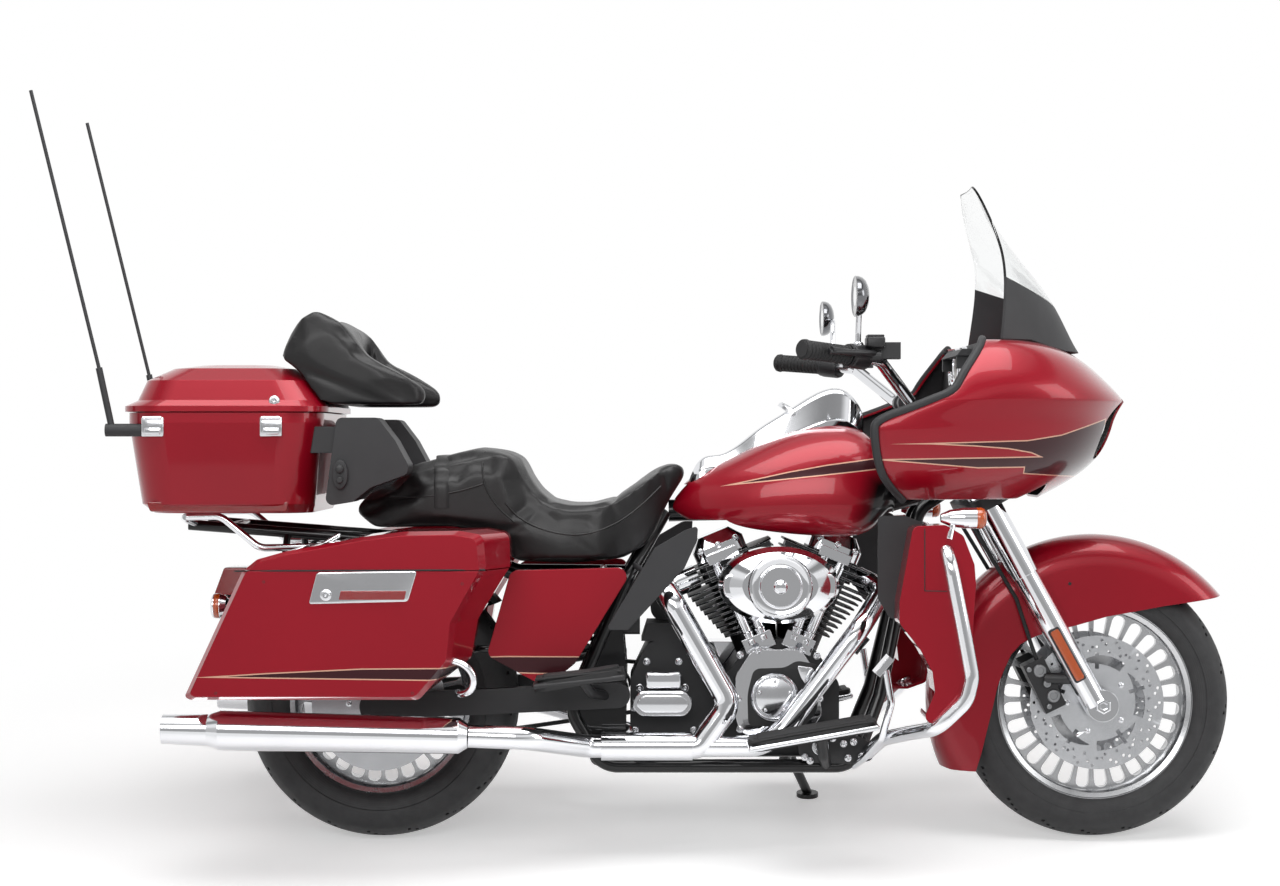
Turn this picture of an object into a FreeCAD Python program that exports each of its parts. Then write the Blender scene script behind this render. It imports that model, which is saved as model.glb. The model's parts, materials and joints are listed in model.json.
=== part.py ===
import FreeCAD, Part
import math
import os

V = FreeCAD.Vector

# A touring cruiser motorcycle parked on its side stand.
# It is modelled upright and in millimetres: X points to the front from the rear axle, Y to the
# rider's left and Z up from the ground. The last lines lean it onto its side stand and set the
# origin under the middle of its box.

# Whole machine
wheelbase = 1613.0
lean_angle = 8.0
fork_rake = 26.0
trail = 170.0
full_turn = 360.0

# Gaps between pieces
running_gap = 0.05
seat_gap = 0.3
seam_gap = 2.0
cut_over = 5.0

# Wheels and tyres
tyre_radius = 310.0
front_tyre_width = 130.0
rear_tyre_width = 180.0
front_rim_radius = 220.0
rear_rim_radius = 206.0
bead_height = 14.0
rim_wall = 12.0
rim_lip = 6.0
spoke_count = 28
spoke_web = 26.0
window_root_radius = 80.0
window_margin = 12.0
front_hub_half = 68.0
rear_hub_half = 92.0
hub_radius = 46.0
axle_radius = 12.5
axle_bore_radius = 8.0

# Brakes and drive
disc_radius = 150.0
disc_bore_radius = 58.0
disc_thickness = 5.0
disc_slot_count = 5
disc_slot_width = 9.0
disc_slot_inner = 76.0
disc_slot_outer = 112.0
caliper_length = 118.0
caliper_width = 62.0
caliper_height = 50.0
caliper_slot = 16.0
brake_line_radius = 4.5
pulley_radius = 116.0
pulley_width = 26.0
engine_pulley_radius = 46.0
belt_thickness = 8.0
belt_width = 20.0

# Fork and steering
leg_spread = 120.0
slider_radius = 28.5
cover_radius = 32.0
leg_top_x = 1279.0
leg_top_z = 900.0
leg_low_x = 1601.0
leg_low_z = 312.0
slider_top_share = 0.49
stem_radius = 14.0
head_radius = 32.0
head_low_z = 800.0
head_high_z = 884.0
yoke_thickness = 28.0
yoke_margin = 14.0
axle_boss_radius = 36.0
axle_boss_width = 44.0

# Handlebar
bar_radius = 14.0
grip_radius = 18.0
grip_length = 125.0
bar_bend = 60.0
bar_centre_x = 1188.0
bar_centre_z = 985.0
bar_shoulder_y = 120.0
bar_hand_x = 1100.0
bar_hand_y = 296.0
bar_hand_z = 1074.0
bar_end_x = 927.0
bar_end_y = 430.0
bar_end_z = 1091.0
riser_spread = 48.0
riser_radius = 17.0

# Front fender
fender_radius = 378.0
fender_wall = 4.0
front_fender_half = 84.0
rear_fender_half = 108.0
rear_fender_radius = 352.0

# Engine
crank_x = 895.0
crank_z = 340.0
vee_half_angle = 22.5
bore_core_radius = 54.0
fin_start = 150.0
fin_end = 278.0
fin_count = 10
fin_thickness = 4.5
fin_low_half = 65.0
fin_high_half = 107.0
head_fin_half = 116.0
fin_half_width = 84.0
fin_chamfer = 30.0
head_end = 326.0
port_half = 27.0
port_offset = 46.0
rocker_end = 380.0
rocker_half_length = 60.0
rocker_half_width = 82.0
vee_gap = 3.0
pushrod_radius = 10.0
pushrod_spread = 20.0
pushrod_offset = 101.0
case_half_width = 108.0
cam_cover_depth = 64.0
timer_radius = 47.0
timer_depth = 10.0
primary_start = 119.0
primary_end = 224.0
gearbox_half_width = 120.0

# Exhaust
muffler_spread = 340.0
muffler_radius = 43.0
muffler_tip_radius = 31.5
muffler_tip_x = -435.0
muffler_tip_z = 283.0
muffler_rear_x = -312.0
muffler_front_x = 198.0
muffler_clamp_x = 217.0
muffler_front_z = 268.0
exhaust_y = 208.0
header_radius = 23.0
shield_radius = 27.5
collector_radius = 31.0
pipe_bend = 70.0

# Fuel tank and seat
tank_rear = 639.0
tank_length = 515.0
tank_low = 691.0
tank_height = 246.0
tank_half_width = 175.0
tunnel_half = 40.0
tunnel_top = 800.0
rocker_tunnel_half = 116.0
rocker_tunnel_top = 722.0
console_half = 62.0
seat_rear = -57.0
seat_length = 754.0
seat_low = 622.0
seat_height = 262.0
seat_half_width = 190.0

# Saddlebags
bag_rear = -369.0
bag_length = 632.0
bag_low = 356.0
bag_height = 356.0
bag_inner = 232.0
bag_outer = 460.0
bag_bevel_y = 330.0
bag_round_y = 440.0
bag_bevel = 49.0
bag_wall = 6.0
bag_split_share = 0.762

# Top box and backrest
box_rear = -545.0
box_length = 446.0
box_low = 741.0
box_rim_z = 961.0
box_top = 1066.0
box_half_width = 285.0
box_corner = 90.0
box_wall = 6.0
rest_half_width = 240.0
rest_rear = -207.0
rest_length = 331.0
rest_low = 974.0
rest_height = 221.0
rest_pad = 62.0

# Fairing and windshield
fairing_low = 749.0
fairing_height = 371.0
fairing_half_width = 402.0
fairing_wall = 7.0
shield_low = 1098.0
shield_top = 1469.0
shield_half_width = 266.0
shield_wall = 5.0
lamp_radius = 66.0
lamp_spread = 96.0
lamp_z = 925.0

# Lower fairings and engine guard
lower_rear = 1133.0
lower_length = 162.0
lower_low = 302.0
lower_height = 419.0
lower_inner = 304.0
lower_outer = 398.0
lower_wall = 6.0
guard_radius = 16.0
guard_bend = 60.0

# Frame
tube_radius = 15.0
backbone_radius = 25.0
rail_z = 176.0
rail_spread = 134.0
rail_front_x = 1060.0
rail_rear_x = 500.0
frame_bend = 60.0
seat_rail_radius = 12.0
battery_rear = 345.0
battery_length = 240.0
battery_half = 88.0
battery_low = 470.0
battery_height = 113.0
tray_thickness = 5.0
seat_rail_spread = 122.0
swing_pivot_x = 535.0
swing_pivot_z = 335.0
swing_spread = 148.0
swing_width = 26.0
swing_height = 56.0

# Footboards, pedals and side stand
board_length = 280.0
board_width = 120.0
board_thickness = 20.0
board_inner = 256.0
board_mid_x = 955.0
board_mid_z = 268.0
board_tilt = 9.9
rubber_height = 6.0
rear_board_length = 198.0
rear_board_width = 86.0
rear_board_mid_x = 454.0
rear_board_mid_z = 385.0
hinge_radius = 9.0
hinge_pin_radius = 5.0
stand_pivot_x = 930.0
stand_pivot_y = 172.0
stand_pivot_z = 176.0
stand_foot_x = 988.0
stand_foot_y = 306.0
stand_radius = 11.0
stand_hub_radius = 16.0
stand_foot_radius = 26.0
stand_foot_thickness = 8.0


# Drawing helpers

def closed(points):
    return Part.makePolygon(list(points) + [points[0]])


def smooth(points):
    curve = Part.BSplineCurve()
    curve.interpolate(Points=list(points), PeriodicFlag=True)
    return Part.Wire([curve.toShape()])


def open_curve(points):
    curve = Part.BSplineCurve()
    curve.interpolate(Points=list(points))
    return curve.toShape()


def rounded(points, radius):
    edges = []
    count = len(points)
    starts = []
    ends = []
    middles = []
    for i in range(count):
        corner = points[i]
        back = points[i - 1] - corner
        ahead = points[(i + 1) % count] - corner
        half = back.getAngle(ahead) / 2
        reach = min(radius / math.tan(half), back.Length * 0.45, ahead.Length * 0.45)
        arc = reach * math.tan(half)
        back.normalize()
        ahead.normalize()
        inward = back + ahead
        inward.normalize()
        starts.append(corner + back * reach)
        ends.append(corner + ahead * reach)
        middles.append(corner + inward * (arc / math.sin(half) - arc))
    for i in range(count):
        edges.append(Part.Arc(starts[i], middles[i], ends[i]).toShape())
        edges.append(Part.LineSegment(ends[i], starts[(i + 1) % count]).toShape())
    return Part.Wire(edges)


def side_points(shares, rear, low, length, height, y=0):
    return [V(rear + a * length, y, low + b * height) for a, b in shares]


def slab(wire, y0, y1):
    face = Part.Face(wire)
    face.translate(V(0, y0, 0))
    return face.extrude(V(0, y1 - y0, 0))


def block(x0, x1, y0, y1, z0, z1):
    return Part.makeBox(x1 - x0, y1 - y0, z1 - z0, V(x0, y0, z0))


def rod(a, b, radius):
    return Part.makeCylinder(radius, (b - a).Length, a, b - a)


def lathe(a, b, profile):
    axis = b - a
    points = [V(0, 0, profile[0][0] * axis.Length)]
    points += [V(r, 0, s * axis.Length) for s, r in profile if r > 0]
    points.append(V(0, 0, profile[-1][0] * axis.Length))
    solid = Part.Face(closed(points)).revolve(V(0, 0, 0), V(0, 0, 1), full_turn)
    solid.Placement = FreeCAD.Placement(a, FreeCAD.Rotation(V(0, 0, 1), axis))
    return solid


def wheel_turn(profile, x, z, angle=full_turn):
    points = [V(x, y, z + r) for r, y in profile]
    return Part.Face(closed(points)).revolve(V(x, 0, z), V(0, 1, 0), angle)


def bent_path(points, bend):
    edges = []
    start = points[0]
    for before, corner, after in zip(points, points[1:], points[2:]):
        back = before - corner
        ahead = after - corner
        half = back.getAngle(ahead) / 2
        reach = min(bend / math.tan(half), 0.45 * back.Length, 0.45 * ahead.Length)
        arc = reach * math.tan(half)
        back.normalize()
        ahead.normalize()
        inward = back + ahead
        inward.normalize()
        first = corner + back * reach
        last = corner + ahead * reach
        middle = corner + inward * (arc / math.sin(half) - arc)
        edges.append(Part.LineSegment(start, first).toShape())
        edges.append(Part.Arc(first, middle, last).toShape())
        start = last
    edges.append(Part.LineSegment(start, points[-1]).toShape())
    return Part.Wire(edges)


def tube(points, bend, radius):
    path = bent_path(points, bend)
    ring = Part.Wire([Part.makeCircle(radius, points[0], points[1] - points[0])])
    return path.makePipeShell([ring], True, False)


def loft(wires, ruled=False):
    return Part.makeLoft(wires, True, ruled)


def mirrored(shape):
    return shape.mirror(V(0, 0, 0), V(0, 1, 0))


def both(shape):
    return Part.makeCompound([shape, mirrored(shape)])


def flip(point):
    return V(point.x, -point.y, point.z)


def fused(shapes):
    whole = shapes[0]
    if len(shapes) > 1:
        whole = shapes[0].fuse(list(shapes[1:]))
    return whole


def turned(shape, centre, axis, angle):
    copy = shape.copy()
    copy.rotate(centre, axis, angle)
    return copy


nodes = {}


def node(name, shape):
    nodes[name] = shape


# Steering geometry

steer_slope = math.tan(math.radians(fork_rake))
steer_up = V(-math.sin(math.radians(fork_rake)), 0, math.cos(math.radians(fork_rake)))


def steer_point(z):
    return V(wheelbase + trail - z * steer_slope, 0, z)


leg_line = V(leg_top_x - leg_low_x, 0, leg_top_z - leg_low_z)


def leg_point(share, y=0):
    return V(leg_low_x + share * leg_line.x, y, leg_low_z + share * leg_line.z)


# Wheels

def tyre(x, rim_radius, width):
    depth = tyre_radius - rim_radius
    bead = rim_radius - bead_height
    half = width / 2
    right = [(rim_radius + r * depth, y * half) for r, y in tyre_wall_shares]
    left = [(r, -y) for r, y in reversed(right[:-1])]
    bead_half = tyre_wall_shares[0][1] * half
    return wheel_turn(right + left + [(bead, -bead_half), (bead, bead_half)], x, tyre_radius)


tyre_bead_share = 0.72
tyre_wall_shares = ((0.0, tyre_bead_share), (0.14, 0.9), (0.3, 0.985), (0.45, 1.0), (0.6, 0.95), (0.74, 0.82),
                    (0.87, 0.6), (0.96, 0.33), (1.0, 0.0))
window_shares = ((0.0, -0.28), (0.62, -0.30), (0.92, -0.36), (1.0, -0.20),
                 (1.0, 0.20), (0.92, 0.36), (0.62, 0.30), (0.0, 0.28))


def rim(x, rim_radius, width, hub_half):
    lip_half = width / 2 * tyre_bead_share
    bead = rim_radius - bead_height
    inner = bead - rim_wall
    outside = lip_half + rim_lip
    barrel = wheel_turn([(inner, -outside), (rim_radius, -outside), (rim_radius, -lip_half), (bead, -lip_half),
                         (bead, lip_half), (rim_radius, lip_half), (rim_radius, outside), (inner, outside)],
                        x, tyre_radius)
    web_half = spoke_web / 2
    web = wheel_turn([(axle_radius + running_gap, -web_half), (inner + rim_wall / 2, -web_half),
                      (inner + rim_wall / 2, web_half), (axle_radius + running_gap, web_half)], x, tyre_radius)
    hub = wheel_turn([(axle_radius + running_gap, -hub_half), (hub_radius, -hub_half),
                      (hub_radius, hub_half), (axle_radius + running_gap, hub_half)], x, tyre_radius)
    reach = inner - window_margin - window_root_radius
    pitch = full_turn / spoke_count
    corners = []
    for along, across in window_shares:
        r = window_root_radius + along * reach
        angle = math.radians(across * pitch)
        corners.append(V(x + r * math.sin(angle), 0, tyre_radius + r * math.cos(angle)))
    window = slab(closed(corners), -web_half - cut_over, web_half + cut_over)
    windows = [turned(window, V(x, 0, tyre_radius), V(0, 1, 0), i * pitch) for i in range(spoke_count)]
    return fused([barrel, web, hub]).cut(windows)


def brake_disc(x, y_inner):
    half = disc_thickness / 2
    middle = y_inner + half
    ring = wheel_turn([(disc_bore_radius, middle - half), (disc_radius, middle - half),
                       (disc_radius, middle + half), (disc_bore_radius, middle + half)], x, tyre_radius)
    carrier = wheel_turn([(axle_radius + running_gap + rim_wall, middle - half),
                          (disc_bore_radius + cut_over, middle - half),
                          (disc_bore_radius + cut_over, middle + half),
                          (axle_radius + running_gap + rim_wall, middle + half)], x, tyre_radius)
    slot = block(x - disc_slot_width / 2, x + disc_slot_width / 2, middle - disc_thickness, middle + disc_thickness,
                 tyre_radius + disc_slot_inner, tyre_radius + disc_slot_outer)
    pitch = full_turn / disc_slot_count
    slots = [turned(slot, V(x, 0, tyre_radius), V(0, 1, 0), i * pitch) for i in range(disc_slot_count)]
    return fused([ring, carrier]).cut(slots)


def pulley():
    low = rear_hub_half
    high = rear_hub_half + pulley_width
    inner = axle_radius + running_gap + rim_wall
    return wheel_turn([(inner, low), (pulley_radius, low), (pulley_radius, high), (inner, high)], 0, tyre_radius)


node("front_tyre", tyre(wheelbase, front_rim_radius, front_tyre_width))
node("rear_tyre", tyre(0, rear_rim_radius, rear_tyre_width))
node("front_rim", rim(wheelbase, front_rim_radius, front_tyre_width, front_hub_half))
node("rear_rim", rim(0, rear_rim_radius, rear_tyre_width, rear_hub_half))
node("front_discs", both(brake_disc(wheelbase, front_hub_half)))
node("rear_disc_pulley", Part.makeCompound([mirrored(brake_disc(0, rear_hub_half)), pulley()]))


# Fork, yokes and front axle

def fork_leg(side):
    y = side * leg_spread
    slider = rod(leg_point(0, y), leg_point(slider_top_share, y), slider_radius)
    cover = rod(leg_point(slider_top_share, y), leg_point(1 + yoke_thickness / leg_line.Length, y), cover_radius)
    boss = rod(V(wheelbase, y - axle_boss_width / 2, tyre_radius),
               V(wheelbase, y + axle_boss_width / 2, tyre_radius), axle_boss_radius)
    return [slider, cover, boss]


axle_half = leg_spread + axle_boss_width / 2
front_axle = rod(V(wheelbase, -axle_half, tyre_radius), V(wheelbase, axle_half, tyre_radius), axle_radius)
front_spacer_start = front_hub_half + disc_thickness + seat_gap
front_spacer = rod(V(wheelbase, front_spacer_start, tyre_radius), V(wheelbase, leg_spread, tyre_radius),
                   axle_radius + disc_thickness)
legs = fused(fork_leg(1) + fork_leg(-1) + [front_axle, front_spacer, mirrored(front_spacer)])
axle_hole = rod(V(wheelbase, -leg_spread * 2, tyre_radius), V(wheelbase, leg_spread * 2, tyre_radius),
                axle_bore_radius)
legs = legs.cut(axle_hole)
node("fork_legs", legs)


steer_forward = V(math.cos(math.radians(fork_rake)), 0, math.sin(math.radians(fork_rake)))
yoke_edge = cover_radius + yoke_margin
stem_edge = stem_radius + yoke_margin


def yoke(z):
    foot = steer_point(z)
    share = (foot.z - leg_low_z) / leg_line.z
    for _ in range(4):
        drift = (leg_point(share) - foot).dot(steer_up)
        share -= drift / leg_line.dot(steer_up)
    behind = (leg_point(share) - foot).dot(steer_forward)
    corners = [(behind - yoke_edge, -leg_spread - yoke_edge), (behind + yoke_edge, -leg_spread - yoke_edge),
               (stem_edge, -stem_edge), (stem_edge, stem_edge),
               (behind + yoke_edge, leg_spread + yoke_edge), (behind - yoke_edge, leg_spread + yoke_edge)]
    points = [foot + steer_forward * a + V(0, b, 0) for a, b in corners]
    return Part.Face(rounded(points, yoke_edge)).extrude(steer_up * yoke_thickness)


lower_yoke_z = head_low_z - yoke_thickness - seat_gap
upper_yoke_z = head_high_z + seat_gap
stem = rod(steer_point(lower_yoke_z), steer_point(upper_yoke_z + yoke_thickness / 2), stem_radius)
bar_left = [V(bar_centre_x, 0, bar_centre_z), V(bar_centre_x, bar_shoulder_y, bar_centre_z),
            V(bar_hand_x, bar_hand_y, bar_hand_z), V(bar_end_x, bar_end_y, bar_end_z)]
bar_path = [flip(p) for p in reversed(bar_left[1:])] + bar_left[1:]
bar = tube(bar_path, bar_bend, bar_radius)
riser_foot = steer_point(upper_yoke_z) - steer_forward * (yoke_edge * 1.0) + steer_up * yoke_thickness
riser = rod(riser_foot + V(0, riser_spread, 0), V(bar_centre_x, riser_spread, bar_centre_z), riser_radius)
riser_cap = rod(V(bar_centre_x, riser_spread - riser_radius, bar_centre_z),
                V(bar_centre_x, riser_spread + riser_radius, bar_centre_z), bar_radius + yoke_margin / 2)
yokes = fused([yoke(lower_yoke_z), yoke(upper_yoke_z), stem, riser, riser_cap, mirrored(riser), mirrored(riser_cap)])
node("fork_yokes", yokes.cut([legs, bar]))
node("handlebar", bar)


# Hand controls: grips, switch housings, levers

def along_bar(y_share):
    return bar_left[3] + (bar_left[2] - bar_left[3]) * y_share


grip_share = grip_length / (bar_left[3] - bar_left[2]).Length
housing_share = grip_share + 0.24
grip = rod(along_bar(-0.02), along_bar(grip_share), grip_radius).cut(bar)
housing = rod(along_bar(grip_share + 0.01), along_bar(housing_share), grip_radius * 1.35).cut(bar)
lever_root = along_bar(grip_share + 0.12) + V(grip_radius * 2.2, 0, 0)
lever_tip = along_bar(0.04) + V(grip_radius * 3, 0, 0)
lever = rod(lever_root, lever_tip, bar_radius * 0.5)
perch = rod(along_bar(grip_share + 0.12), lever_root + V(bar_radius, 0, 0), bar_radius * 0.9)
reservoir_size = grip_radius * 2
reservoir_spot = along_bar(grip_share + 0.4) + V(bar_radius, 0, grip_radius)
reservoir = block(reservoir_spot.x - reservoir_size, reservoir_spot.x + reservoir_size,
                  reservoir_spot.y - reservoir_size / 2, reservoir_spot.y + reservoir_size / 2,
                  reservoir_spot.z - reservoir_size / 2, reservoir_spot.z + reservoir_size / 2)
controls = fused([housing, perch, lever, reservoir]).cut(bar)
node("grips", both(grip))
node("hand_controls", both(controls))

mirror_stem_foot = along_bar(0.72) + V(0, 0, bar_radius)
mirror_x = 1035.0
mirror_low = 1157.0
mirror_height = 87.0
mirror_inner = 372.0
mirror_width = 150.0
mirror_depth = 30.0
mirror_face = Part.Face(rounded([V(mirror_x, mirror_inner, mirror_low),
                                 V(mirror_x, mirror_inner + mirror_width, mirror_low + mirror_height * 0.15),
                                 V(mirror_x, mirror_inner + mirror_width, mirror_low + mirror_height),
                                 V(mirror_x, mirror_inner, mirror_low + mirror_height)], mirror_height * 0.42))
mirror_head = mirror_face.extrude(V(mirror_depth, 0, 0))
stem_top = V(mirror_x + mirror_depth / 2, mirror_inner + mirror_width * 0.3, mirror_low + mirror_height * 0.3)
stem_mid = V(mirror_stem_foot.x, stem_top.y - mirror_width * 0.25, mirror_low + mirror_height * 0.3)
mirror_stem = tube([mirror_stem_foot, stem_mid, stem_top], mirror_depth, bar_radius * 0.5)
mirror = fused([mirror_head, mirror_stem]).cut([controls, bar])
node("mirrors", both(mirror))


# Front fender, calipers

fender_profile_shares = ((0.0, 0.0), (0.36, 0.012), (0.68, 0.042), (0.9, 0.098), (1.0, 0.17), (1.0, 0.62))
front_fender_shares = ((0.0, 0.02), (0.15, 0.0), (0.17, 0.08), (0.21, 0.28), (0.24, 0.43), (0.30, 0.54),
                       (0.36, 0.57), (0.5, 0.62), (0.6, 0.66), (1.05, 0.76), (1.05, 1.1), (-0.1, 1.1), (-0.1, 0.02))
front_fender_length = 653.0
front_fender_low = 156.0
front_fender_height = 531.0
front_fender_rear = 1241.0


def guard(x, radius, half, wall):
    outer = [(radius - b * radius, a * half) for a, b in fender_profile_shares]
    inner = [(radius - wall - b * radius, a * (half - wall)) for a, b in fender_profile_shares[:-1]]
    inner.append((outer[-1][0], half - wall))
    left = outer + inner[::-1]
    right = [(r, -y) for r, y in outer[1:]] + [(r, -y) for r, y in inner[::-1][:-1]]
    ring = outer[::-1] + [(r, -y) for r, y in outer[1:]] + [(r, -y) for r, y in inner[::-1]] + inner[1:]
    return wheel_turn(ring, x, tyre_radius)


front_fender_side = closed(side_points(front_fender_shares, front_fender_rear, front_fender_low,
                                       front_fender_length, front_fender_height))
fender_hoop = guard(wheelbase, fender_radius, front_fender_half, fender_wall)
node("front_fender", fender_hoop.common(slab(front_fender_side, -front_fender_half - cut_over,
                                             front_fender_half + cut_over)))

caliper_x = 1490.0
caliper_z = 352.0
caliper = block(caliper_x - caliper_height / 2, caliper_x + caliper_height / 2,
                front_hub_half + disc_thickness / 2 - caliper_width / 2,
                leg_spread - slider_radius / 2,
                caliper_z - caliper_length / 2, caliper_z + caliper_length / 2)
caliper = turned(caliper, V(caliper_x, 0, caliper_z), V(0, 1, 0), -fork_rake)
caliper_cavity = wheel_turn([(0, front_hub_half + disc_thickness / 2 - caliper_slot / 2),
                             (disc_radius + caliper_slot / 2, front_hub_half + disc_thickness / 2 - caliper_slot / 2),
                             (disc_radius + caliper_slot / 2, front_hub_half + disc_thickness / 2 + caliper_slot / 2),
                             (0, front_hub_half + disc_thickness / 2 + caliper_slot / 2)], wheelbase, tyre_radius)
tyre_room = wheel_turn([(0, -front_tyre_width / 2 - seam_gap), (tyre_radius, -front_tyre_width / 2 - seam_gap),
                        (tyre_radius, front_hub_half - caliper_slot), (0, front_hub_half - caliper_slot)],
                       wheelbase, tyre_radius)
caliper_lug = rod(V(caliper_x, leg_spread - slider_radius * 0.6, caliper_z + caliper_slot),
                  V(caliper_x + leg_spread * 0.65, leg_spread, caliper_z + caliper_slot), caliper_slot * 0.8)
caliper = fused([caliper, caliper_lug]).cut([caliper_cavity, tyre_room, legs])
caliper = max(caliper.Solids, key=lambda solid: solid.Volume)
brake_line = tube([V(1322, -102, 778), V(1334, -99, 700), V(1428, -97, 545), V(1462, -97, 440), V(1482, -97, 385)],
                  30, brake_line_radius).cut([yokes, legs, mirrored(caliper)])
brake_line = max(brake_line.Solids, key=lambda solid: solid.Volume)
node("brake_lines", both(brake_line))
node("front_calipers", both(caliper))


# Frame

neck = rod(steer_point(head_low_z), steer_point(head_high_z), head_radius)
backbone_points = [V(1368, 0, 822), V(1110, 0, 750), V(650, 0, 740)]
backbone = tube(backbone_points, tank_height, backbone_radius)
downtube_points = [V(1305, 18, 802), V(1214, 48, 742), V(1120, 108, 330), V(rail_front_x, rail_spread, rail_z),
                   V(rail_rear_x, rail_spread, rail_z), V(430, rail_spread, 300), V(560, seat_rail_spread, 600),
                   V(640, 40, 735)]
downtube = tube(downtube_points, frame_bend, tube_radius)
seat_rail_points = [V(552, seat_rail_spread, 598), V(300, seat_rail_spread, 600),
                    V(150, seat_rail_spread, 668), V(-420, seat_rail_spread, 712)]
seat_rail = tube(seat_rail_points, frame_bend, seat_rail_radius)
crosses = [rod(V(x, -spread, z), V(x, spread, z), tube_radius * 0.8) for x, spread, z in
           ((rail_front_x - 40, rail_spread, rail_z), (rail_rear_x + 40, rail_spread, rail_z),
            (-330, seat_rail_spread, 705), (500, seat_rail_spread, 599))]
pivot_tube = rod(V(swing_pivot_x, -swing_spread + swing_width / 2 + seat_gap, swing_pivot_z),
                 V(swing_pivot_x, swing_spread - swing_width / 2 - seat_gap, swing_pivot_z), tube_radius * 1.6)
pivot_plate_points = [V(430, 0, 300), V(480, 0, 176), V(552, 0, 176), V(556, 0, 380), V(540, 0, 560), V(500, 0, 470)]
pivot_plate = slab(rounded(pivot_plate_points, 20), rail_spread - tube_radius * 0.6, rail_spread - tube_radius * 0.1)
bag_stays = [tube([V(-200, seat_rail_spread, 694), V(-200, 190, 610), V(-200, bag_inner + bag_wall, 560)], 30, 8),
             tube([V(470, rail_spread - tube_radius / 2, 440), V(400, 178, 440), V(228, 178, 440),
                   V(205, bag_inner + bag_wall, 440)], 30, 8)]
battery_tray = block(battery_rear, battery_rear + battery_length, -battery_half, battery_half,
                     battery_low - tray_thickness, battery_low)
tray_ear = block(488, 518, -rail_spread + tube_radius * 0.6, rail_spread - tube_radius * 0.6,
                 battery_low - tray_thickness, battery_low)
frame_shape = fused([battery_tray, tray_ear, neck, backbone, downtube, mirrored(downtube), seat_rail,
                     mirrored(seat_rail), pivot_tube,
                     pivot_plate, mirrored(pivot_plate)] + crosses + bag_stays +
                    [mirrored(stay) for stay in bag_stays])
stem_hole = rod(steer_point(head_low_z) - steer_up * cut_over, steer_point(head_high_z) + steer_up * cut_over,
                stem_radius + running_gap)
frame_shape = frame_shape.cut(stem_hole)


# Engine: crankcase, finned cylinders, covers

case_shares = ((0.0, 0.12), (0.12, 0.0), (0.86, 0.0), (1.0, 0.2), (1.0, 0.62), (0.8, 0.9), (0.5, 1.0),
               (0.2, 0.9), (0.0, 0.62))
case_rear = 765.0
case_low = 196.0
case_length = 265.0
case_height = 262.0
case = slab(rounded(side_points(case_shares, case_rear, case_low, case_length, case_height), fin_chamfer),
            -case_half_width, case_half_width)
gearbox_rear = 563.0
gearbox_low = 238.0
gearbox_height = 212.0
gearbox_shares = ((0.0, 0.0), (1.0, 0.0), (1.0, 0.85), (0.75, 1.0), (0.2, 1.0), (0.0, 0.6))
gearbox_body = slab(rounded(side_points(gearbox_shares, gearbox_rear, gearbox_low, case_rear - gearbox_rear - seat_gap,
                                   gearbox_height), fin_chamfer),
               -gearbox_half_width + tube_radius * 2, gearbox_half_width - tube_radius * 2)


def octagon(half_x, half_y, chamfer, z0, z1):
    corners = [V(half_x - chamfer, half_y, z0), V(half_x, half_y - chamfer, z0), V(half_x, chamfer - half_y, z0),
               V(half_x - chamfer, -half_y, z0), V(chamfer - half_x, -half_y, z0), V(-half_x, chamfer - half_y, z0),
               V(-half_x, half_y - chamfer, z0), V(chamfer - half_x, half_y, z0)]
    return Part.Face(closed(corners)).extrude(V(0, 0, z1 - z0))


def lean_cylinder(shape, side):
    shape = turned(shape, V(0, 0, 0), V(0, 1, 0), side * vee_half_angle)
    shape.translate(V(crank_x, 0, crank_z))
    return shape


def cylinder(side):
    core = Part.makeCylinder(bore_core_radius, head_end - case_height / 4, V(0, 0, case_height / 4))
    pitch = (fin_end - fin_start) / fin_count
    pieces = [core]
    for i in range(fin_count):
        low = fin_start + i * pitch
        half = fin_low_half + (fin_high_half - fin_low_half) * i / (fin_count - 1)
        pieces.append(octagon(half, fin_half_width, fin_chamfer, low, low + fin_thickness))
    pieces.append(octagon(rocker_half_length, rocker_half_width - fin_thickness, fin_chamfer / 2, fin_end, head_end))
    head_pitch = (head_end - fin_end) / 3
    for i in range(3):
        low = fin_end + (i + 0.4) * head_pitch
        pieces.append(octagon(head_fin_half, fin_half_width, fin_chamfer, low, low + fin_thickness))
    port_end = -side * (head_fin_half - fin_thickness)
    pieces.append(block(min(0, port_end), max(0, port_end), -port_half - port_offset, port_half - port_offset,
                        fin_end + fin_thickness, head_end - fin_thickness * 2))
    shape = lean_cylinder(fused(pieces), side)
    far = fin_end * 4
    beyond = block(crank_x - vee_gap / 2, crank_x + far, -far, far, 0, far * 2)
    if side > 0:
        beyond = block(crank_x - far, crank_x + vee_gap / 2, -far, far, 0, far * 2)
    return shape.cut([beyond, case])


cylinder_pair = Part.makeCompound([cylinder(-1), cylinder(1)])


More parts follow.
